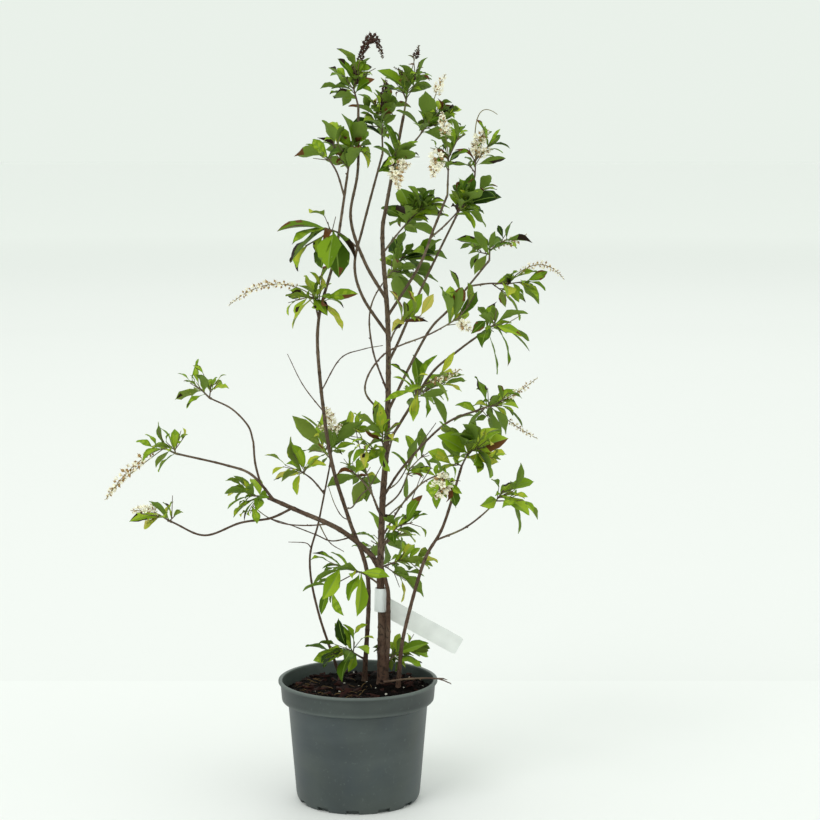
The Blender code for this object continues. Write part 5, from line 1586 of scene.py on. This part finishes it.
class SHRUB_OT_twigs(bpy.types.Operator):
    """Carries the boughs on into every mass's stem, twigs and twiglets, with their buds"""

    bl_idname = "shrub.twigs"
    bl_label = "Twigs and buds"

    def execute(self, context):
        settings = context.scene.shrub_wood
        shrub = Shrub.get()
        shape, paths = Shape(), []
        for mass in MASSES:
            stem = shrub.fine[mass.name]
            radii = taper(stem, FINE_STEM_R, FINE_TIP_R)
            points, radii = closer(stem, radii, TWIG_STEP)
            paths.append((points, radii))
            tube(shape, points, knotty(points, radii, settings.knots, TWIG_KNOT, mass.name), 7)
            for start, end in shrub.twigs[mass.name]:
                points, radii = closer([start, end], [FINE_TIP_R * 1.15, FINE_TIP_R * 0.8], 4 * MM)
                paths.append((points, radii))
                tube(shape, points, radii, 6)
            for start, end in shrub.twiglets[mass.name]:
                tube(shape, [start, start.lerp(end, 0.5), end], [TWIGLET_R, TWIGLET_R * 0.9, TWIGLET_R * 0.7],
                     5)
        for name, parent, height, radius, places in BARE_TWIGS:
            places = [Vector(place) * CM for place in places]
            if parent:
                places = [at_height(shrub.routes[parent], height * CM), *places]
            points = smooth(places, FINE_STEPS)
            radii = taper(points, radius * MM, radius * MM / 2)
            points, radii = closer(points, radii, TWIG_STEP)
            tube(shape, points, knotty(points, radii, settings.knots * 0.7, BARE_KNOT, name), 6)
            paths.append((points, radii))
        finish = shoot_finish(settings)
        belongs(shape.piece("twigs", [finish]), "bark", *[mass.name for mass in MASSES])
        along_a_path().spread("buds", guide(paths, 2 * MM), bud_mesh(), (11 * MM, 1.0, 0.85), 2,
                              finish, "bark", 50)
        return {"FINISHED"}


def guide(paths, skip=0.0):
    """A mesh of open paths for the nodes, with each point's thickness, less a first stretch."""
    points, edges, thick = [], [], []
    for route, radii in paths:
        first, distance = len(points), 0.0
        for index, (point, radius) in enumerate(zip(route, radii)):
            distance += (point - route[index - 1]).length if index else 0
            if distance < skip and index < len(route) - 2:
                continue
            if len(points) > first:
                edges.append((len(points) - 1, len(points)))
            points.append(tuple(point))
            thick.append(radius)
    mesh = bpy.data.meshes.new("guide")
    mesh.from_pydata(points, edges, [])
    mesh.attributes.new("thick", "FLOAT", "POINT").data.foreach_set("value", thick)
    return mesh


def bud_mesh():
    """A pointed bud that leans off a shoot, in units of the shoot's radius."""
    return Shape((on_x(0.6, 1.2, 1.9, 2.5), (0.75, 0.85, 0.55, 0.12), 5)).mesh("bud")


# Leaves

class LeafForm:
    """A leaf's upper sheet, in rows slanted like its veins, and its back, on one border."""

    def __init__(self):
        rows, columns, spare = len(LEAF_ROWS), len(LEAF_COLUMNS), len(BACK_COLUMNS)
        spots = [(share, side, float(abs(side) < 1)) for share in LEAF_ROWS for side in LEAF_COLUMNS]
        tip, back = len(spots), len(spots) + 1
        spots += [(1.0, 0.0, 0.0), *[(share, side, -1.0) for share in LEAF_ROWS for side in BACK_COLUMNS]]
        self.share, self.side, self.sheet = np.array(spots).T
        self.border = np.abs(self.side) == 1
        self.row = np.searchsorted(LEAF_ROWS, self.share)
        self.faces, self.where = [(*range(columns), *range(back + spare - 1, back - 1, -1))], [(0, 0, True)]
        for row in range(rows):
            upper = [row * columns + column for column in range(columns)]
            lower = [upper[0], *range(back + row * spare, back + (row + 1) * spare), upper[-1]]
            for sheet, flip in ((upper, False), (lower, True)):
                for column, (a, b) in enumerate(zip(sheet, sheet[1:])):
                    ahead = [a + (spare if a > tip else columns), b + (spare if b > tip else columns)]
                    face = (a, *(ahead if row < rows - 1 else [tip]), b)
                    self.faces.append(face[::-1] if flip else face)
                    self.where.append((row, BACK_MARKS[column] if flip else column, flip))


def leaf_points(form, leaf, rng, wide, dead):
    """A leaf's points in place: its outline, teeth, folded midrib, quilting, curl and wave."""
    length = leaf["length"] * (DEAD_LONG if dead else 1)
    width = leaf["width"] * wide * rng.uniform(*LEAF_WIDTHS)
    share, side, away = form.share, form.side, np.abs(form.side)
    reach = share + VEIN_SLANT * away * np.sin(math.pi * share)
    half = np.interp(reach, OUTLINE_SHARES, OUTLINE_HALVES) * width / 2
    half = np.maximum(half, np.where(share < 1, PETIOLE_R, 0))
    toothed = form.border & (share > 0.3)
    half = np.where(toothed, half * np.where(form.row % 2 == 0, 1 + TOOTH, 1 - TOOTH), half)
    x, y = reach * length, side * half
    fold, droop = rng.uniform(*LEAF_FOLD[dead]), rng.uniform(*LEAF_DROOP[dead])
    wave = rng.uniform(0, 0.045) * length
    z = leaf_lift(share) + fold * np.abs(y) - droop * share ** 3 * length
    z = z + wave * np.sin(share * rng.uniform(9, 15) + rng.uniform(0, 6)) * side
    ridge = np.where(form.row % 2 == 0, 1, -1) * (share > 0.15) * (away > 0.3) * (away < 1)
    z = z + QUILT * length * ridge + form.sheet * SHEET_THICK / 2
    twist = share * rng.uniform(-LEAF_TWIST[dead], LEAF_TWIST[dead])
    y, z = y * np.cos(twist) - z * np.sin(twist), y * np.sin(twist) + z * np.cos(twist)
    local = np.column_stack((x, y, z))
    return local @ np.array(leaf["turn"]).T + np.array(leaf["base"])


def leaf_tints(form, tint, under, rng, browned):
    """The tint number of every face: a green lit along its veins, its centre or one half, a pale
    midrib, and dead tips, edges or patches on some leaves."""
    mark = rng.choice(("tip", "tip", "edge", "edge", "patch", "side")) if rng.random() < browned else ""
    lit = rng.choice(("", "veins", "centre", "left", "right"))
    lit = "" if tint == DEEP else lit
    start, patch_row, patch_side = rng.randint(6, 8), rng.randint(3, 7), rng.choice((1, 3))
    colour = WITHERED if rng.random() < 0.6 else RUSSET
    edge_side = rng.choice((0, LAST_COLUMN))
    rib = PALE_RIB if tint in (0, 5, 6) else MIDRIB
    tints = []
    for row, column, flip in form.where:
        outer, inner = column in (0, LAST_COLUMN), column in (1, 3)
        dead = mark == "tip" and row >= start + (0 if outer else 1)
        dead = dead or mark == "edge" and outer and row > 3 and (row * 7 + column) % 5
        dead = dead or mark == "side" and abs(column - edge_side) < 2 and row >= start - 2
        dead = dead or mark == "patch" and row in (patch_row, patch_row + 1) and column == patch_side
        light = lit == "veins" and inner and row % 2 or lit == "centre" and inner and row < 6
        light = light or lit == "left" and column < RIB or lit == "right" and column > RIB
        if dead:
            tints.append(colour)
        elif flip:
            tints.append(under)
        elif column == RIB and tint not in (WITHERED, RUSSET):
            tints.append(rib)
        else:
            tints.append(LIGHTER[tint] if light else tint)
    return tints


def dealt(rng, mix, young):
    """One leaf's tint and its back's, dealt from the spray's mix."""
    name = rng.choice(TINT_MIXES[mix])
    if young and name in ("mid", "full") and rng.random() < 0.6:
        name = rng.choice(("fresh", "bright"))
    under = PALE_UNDER if name in ("fresh", "lime", "yellow") else UNDER
    return TINTS.index(name), under


def leaf_finish(name, colour):
    """A plain leaf tint with a soft, finely uneven gloss."""
    finish = Finish(name, colour, 0.5, specular=0.1)
    finish.rough(0.44 + finish.noise(240, detail=2) * 0.24)
    return finish


def leaf_finishes(settings):
    """A finish for every tint number."""
    pale = tuple(c * 1.12 for c in settings.under)
    colours = [getattr(settings, name) for name in TINTS]
    colours += [settings.under, (pale[0] * 1.1, *pale[1:]), settings.russet, settings.withered]
    colours += [settings.rib, tuple(c * 1.35 for c in settings.rib)]
    names = [*TINTS, "underside", "pale underside", "russet", "withered", "midrib", "pale midrib"]
    return [leaf_finish("leaf " + name, colour) for name, colour in zip(names, colours)]


class SHRUB_OT_leaves(bpy.types.Operator):
    """Puts a toothed, folded leaf where each of the solids' leaves is, and the young ones between"""

    bl_idname = "shrub.leaves"
    bl_label = "Leaves"

    def execute(self, context):
        settings = context.scene.shrub_leaves
        shrub, form = Shrub.get(), LeafForm()
        finishes = leaf_finishes(settings)
        crown = {"crown_leaves": [], "middle_leaves": [], "low_leaves": []}
        for mass in MASSES:
            height = mass.centre[2]
            band = (height <= CROWN_FROM) + (height <= MIDDLE_FROM)
            crown[tuple(crown)[band]].append(mass)
        for name, masses in crown.items():
            shape = Shape()
            for mass in masses:
                rng = random.Random(mass.name + " tints")
                mix, browned, _, slim = mass.spray
                for young, leaves in ((False, shrub.leaves[mass.name]), (True, shrub.young[mass.name])):
                    for leaf in leaves:
                        dead = rng.random() < browned * WHOLLY_DEAD * settings.browned
                        tint, under = dealt(rng, mix, young)
                        if dead:
                            tint = under = rng.choice((WITHERED, RUSSET, RUSSET))
                        share = browned * settings.browned * (YOUNG_BROWNED if young else 1)
                        tints = leaf_tints(form, tint, under, rng, share)
                        wide = settings.wide * slim * (DEAD_WIDE if dead else 1)
                        points = leaf_points(form, leaf, rng, wide, dead)
                        shape.add(points, form.faces, tints)
            piece = shape.piece(name, finishes, LEAF_CREASE)
            belongs(piece, "foliage", *[mass.name for mass in masses])
        return {"FINISHED"}


# Blossom

def petals_mesh():
    """An open floret: a stalk and a cup of five petals round a long style."""
    shape = Shape((on_x(0, 0.5), (0.05, 0.07), 3))
    for number in range(PETALS):
        turn = Matrix.Rotation(number * math.tau / PETALS, 3, "X")
        spots = [(0.45, 0, 0.05), (0.78, 0.17, 0.26), (1.0, 0, 0.42), (0.78, -0.17, 0.26),
                 (0.72, 0, 0.32), (0.8, 0, 0.22)]
        faces = [(0, 1, 5), (1, 2, 5), (2, 3, 5), (3, 0, 5), (1, 0, 4), (2, 1, 4), (3, 2, 4), (0, 3, 4)]
        shape.add([turn @ Vector(spot) for spot in spots], faces)
    tube(shape, [Vector((0.6, 0, 0)), Vector((1.12, 0.04, 0.02))], (0.04, 0.03), 3)
    return floret(shape)


def cup_mesh():
    """A faded floret: a stalk and a small five-sided cup with a style."""
    return floret(Shape((on_x(0, 0.5), (0.06, 0.07), 3),
                        (on_x(0.45, 0.62, 0.85), (0.1, 0.26, 0.16), 5),
                        ([(0.85, 0, 0), (1.15, 0.05, 0)], (0.045, 0.03), 3)))


def capsule_mesh():
    """A dry capsule, round and ribbed, on a short stalk."""
    return floret(Shape((on_x(0, 0.5), (0.09, 0.09), 3),
                        (on_x(0.4, 0.58, 0.85, 1), (0.14, 0.34, 0.3, 0.1), 6),
                        ([(1, 0, 0), (1.3, 0.02, 0.05)], (0.05, 0.03), 3)))


def floret(shape):
    """The shape's mesh with all its faces outwards."""
    bm = bmesh.new()
    bm.from_mesh(shape.mesh("floret"))
    bmesh.ops.recalc_face_normals(bm, faces=bm.faces)
    return as_mesh(bm)


def petal_finish(name, colour, shade):
    """Thin papery petals or cups, a little stained."""
    finish = Finish(name, colour, 0.7, specular=0.25)
    stain = finish.noise(320, detail=2)
    finish.colour(finish.mix(stain.above(0.5, 0.72) * 0.7, tuple(colour), shade))
    finish.rough(0.62 + stain * 0.2)
    return finish


def side_spike(mass, main, number):
    """A shorter spike beside the main one, from the same tip, turned off it inside the mass."""
    rng = random.Random(f"{mass.name} side spike {number}")
    run = main[-1] - main[0]
    for attempt in range(TRIES_A_TWIG):
        share = rng.uniform(*SIDE_SPIKE_SHARE)
        turn = rng.uniform(*SIDE_SPIKE_TURN)
        out = across(run.normalized(), number * GOLDEN_TURN + attempt)
        end = main[0] + (run * math.cos(turn) + out * run.length * math.sin(turn)) * share
        if in_space(mass, [end]):
            return bezier(main[0], main[0] + run * 0.45 * share, end, SPIKE_STEPS)
    return bezier(main[0], main[0] + run * 0.3, main[0] + run * 0.6, SPIKE_STEPS)


class SHRUB_OT_blossom(bpy.types.Operator):
    """Grows the flower spikes: open, spent and dried"""

    bl_idname = "shrub.blossom"
    bl_label = "Flower spikes"

    def execute(self, context):
        settings = context.scene.shrub_blossom
        shrub = Shrub.get()
        axes, kinds = Shape(), {"cream": [], "tan": [], "dry": []}
        for mass in MASSES:
            stem = shrub.routes[mass.name]
            for control, end, thick, bears in [*mass.spikes, *SMALL_SPIKES.get(mass.name, ())]:
                main = route = bezier(stem[-1], Vector(control) * CM, Vector(end) * CM, SPIKE_STEPS)
                bare = bears == "bare"
                tube(axes, route, taper(route, *(AXIS_BARE if bare else AXIS_RADII)), 5)
                if bare:
                    continue
                for number in range(1 if mass.name in LONE_SPIKES else 1 + SIDE_SPIKES[bears]):
                    if number:
                        route = side_spike(mass, main, number)
                        tube(axes, route, taper(route, *AXIS_RADII), 4)
                    swell = np.interp(np.linspace(0, 1, len(route)), np.linspace(0, 1, len(SPIKE_SWELL)),
                                      SPIKE_SWELL)
                    wide = max(THINNEST_SPIKE, thick) * MM * SPIKE_REACH[bears]
                    wide *= SIDE_SPIKE_WIDE if number else 1
                    first = SPIKE_STARTS.get((mass.name, bears), SPIKE_SKIP)
                    kinds[bears].append((route[first:], list(wide * swell[first:])))
        stalk = petal_finish("flower stalks", srgb(128, 118, 78), srgb(92, 74, 52))
        belongs(axes.piece("flower_stalks", [stalk]), "foliage")
        petal = petal_finish("petals", settings.petal, srgb(232, 217, 174))
        spent = petal_finish("spent cups", settings.spent, srgb(104, 70, 48))
        dry = petal_finish("dry capsules", settings.dry, srgb(42, 28, 26))
        tree, gap = along_a_path(), settings.spacing
        grown = [("cream_florets", petals_mesh, "cream", (gap, 1.15, 0.35), petal, 1),
                 ("cream_cups", cup_mesh, "cream", (gap * 1.5, 1.05, 0.6), spent, 7),
                 ("spent_florets", petals_mesh, "tan", (gap * 2.2, 1.0, 0.5), petal, 9),
                 ("spent_cups", cup_mesh, "tan", (gap * 1.5, 1.0, 0.45), spent, 3),
                 ("dry_capsules", capsule_mesh, "dry", (gap * 0.45, 0.72, 0.4), dry, 5)]
        for name, make, kind, amounts, finish, seed in grown:
            tree.spread(name, guide(kinds[kind]), make(), amounts, seed, finish, "foliage", 40)
        return {"FINISHED"}


# Stage

def soft_light(name, place, power, size, aim):
    """A square soft light at place that looks at aim."""
    data = bpy.data.lights.new(name, "AREA")
    data.shape = "SQUARE"
    data.size = size
    data.energy = power
    light = bpy.data.objects.new(name, data)
    light.location = place
    light.rotation_euler = (Vector(aim) - Vector(place)).to_track_quat("-Z", "Y").to_euler()
    bpy.context.scene.collection.objects.link(light)


class SHRUB_OT_stage(bpy.types.Operator):
    """Lays the pale floor and sets the soft light and the camera"""

    bl_idname = "shrub.stage"
    bl_label = "Floor, light and camera"

    def execute(self, context):
        settings = context.scene.shrub_stage
        bm = bmesh.new()
        bmesh.ops.create_grid(bm, x_segments=2, y_segments=2, size=STAGE_HALF)
        finish = Finish("pale floor", settings.floor, 0.8, specular=0.15)
        mottle = finish.noise(3, detail=3)
        beyond = finish.along("Y").above(BACKDROP_Y, BACKDROP_Y + 2 * MM)
        near = finish.mix(beyond * 0.8 + mottle * 0.2, settings.floor, settings.backdrop)
        finish.colour(finish.mix(finish.radius().above(*FADE_RADII), near, settings.distance))
        floor = as_piece("floor", as_mesh(bm), [finish])
        world = bpy.data.worlds.new("pale room")
        context.scene.world = world
        world.use_nodes = True
        ground = world.node_tree.nodes["Background"]
        ground.inputs["Color"].default_value = (*ROOM_COLOUR, 1)
        ground.inputs["Strength"].default_value = ROOM_LIGHT
        for name, (place, share, size, aim) in LIGHTS.items():
            soft_light(name, place, settings.light * share, size, (0, 0, aim))
        data = bpy.data.cameras.new("camera")
        data.lens = settings.lens
        data.sensor_width = SENSOR
        camera = bpy.data.objects.new("camera", data)
        camera.location = CAMERA_PLACE
        camera.rotation_euler = (math.radians(90 - CAMERA_PITCH), 0, 0)
        context.scene.collection.objects.link(camera)
        context.scene.camera = camera
        context.scene.view_settings.view_transform = "Standard"
        return {"FINISHED"}


# Panel

PIECE_OPERATORS = (SHRUB_OT_pot, SHRUB_OT_compost, SHRUB_OT_label, SHRUB_OT_wood, SHRUB_OT_twigs,
                   SHRUB_OT_leaves, SHRUB_OT_blossom, SHRUB_OT_stage)
SETTINGS = {"shrub_pot": PotSettings, "shrub_compost": CompostSettings, "shrub_label": LabelSettings,
            "shrub_wood": WoodSettings, "shrub_leaves": LeafSettings, "shrub_blossom": BlossomSettings,
            "shrub_stage": StageSettings}


class SHRUB_PT_pieces(bpy.types.Panel):
    """Lists the shrub's pieces with their sizes and colours"""

    bl_idname = "SHRUB_PT_pieces"
    bl_label = "Potted shrub"
    bl_space_type = "VIEW_3D"
    bl_region_type = "UI"
    bl_category = "Shrub"

    def draw(self, context):
        for operator in PIECE_OPERATORS:
            self.layout.operator(operator.bl_idname)
        for name, group in SETTINGS.items():
            box = self.layout.box()
            settings = getattr(context.scene, name)
            for field in group.__annotations__:
                box.prop(settings, field)


def register():
    for kind in (*SETTINGS.values(), *PIECE_OPERATORS, SHRUB_PT_pieces):
        bpy.utils.register_class(kind)
    for name, group in SETTINGS.items():
        setattr(bpy.types.Scene, name, PointerProperty(type=group))


def unregister():
    for name in SETTINGS:
        delattr(bpy.types.Scene, name)
    for kind in (SHRUB_PT_pieces, *PIECE_OPERATORS, *SETTINGS.values()):
        bpy.utils.unregister_class(kind)


def main():
    """Builds every piece in turn."""
    register()
    bpy.ops.shrub.pot()
    bpy.ops.shrub.compost()
    bpy.ops.shrub.label()
    bpy.ops.shrub.wood()
    bpy.ops.shrub.twigs()
    bpy.ops.shrub.leaves()
    bpy.ops.shrub.blossom()
    bpy.ops.shrub.stage()
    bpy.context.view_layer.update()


if __name__ == "__main__":
    main()
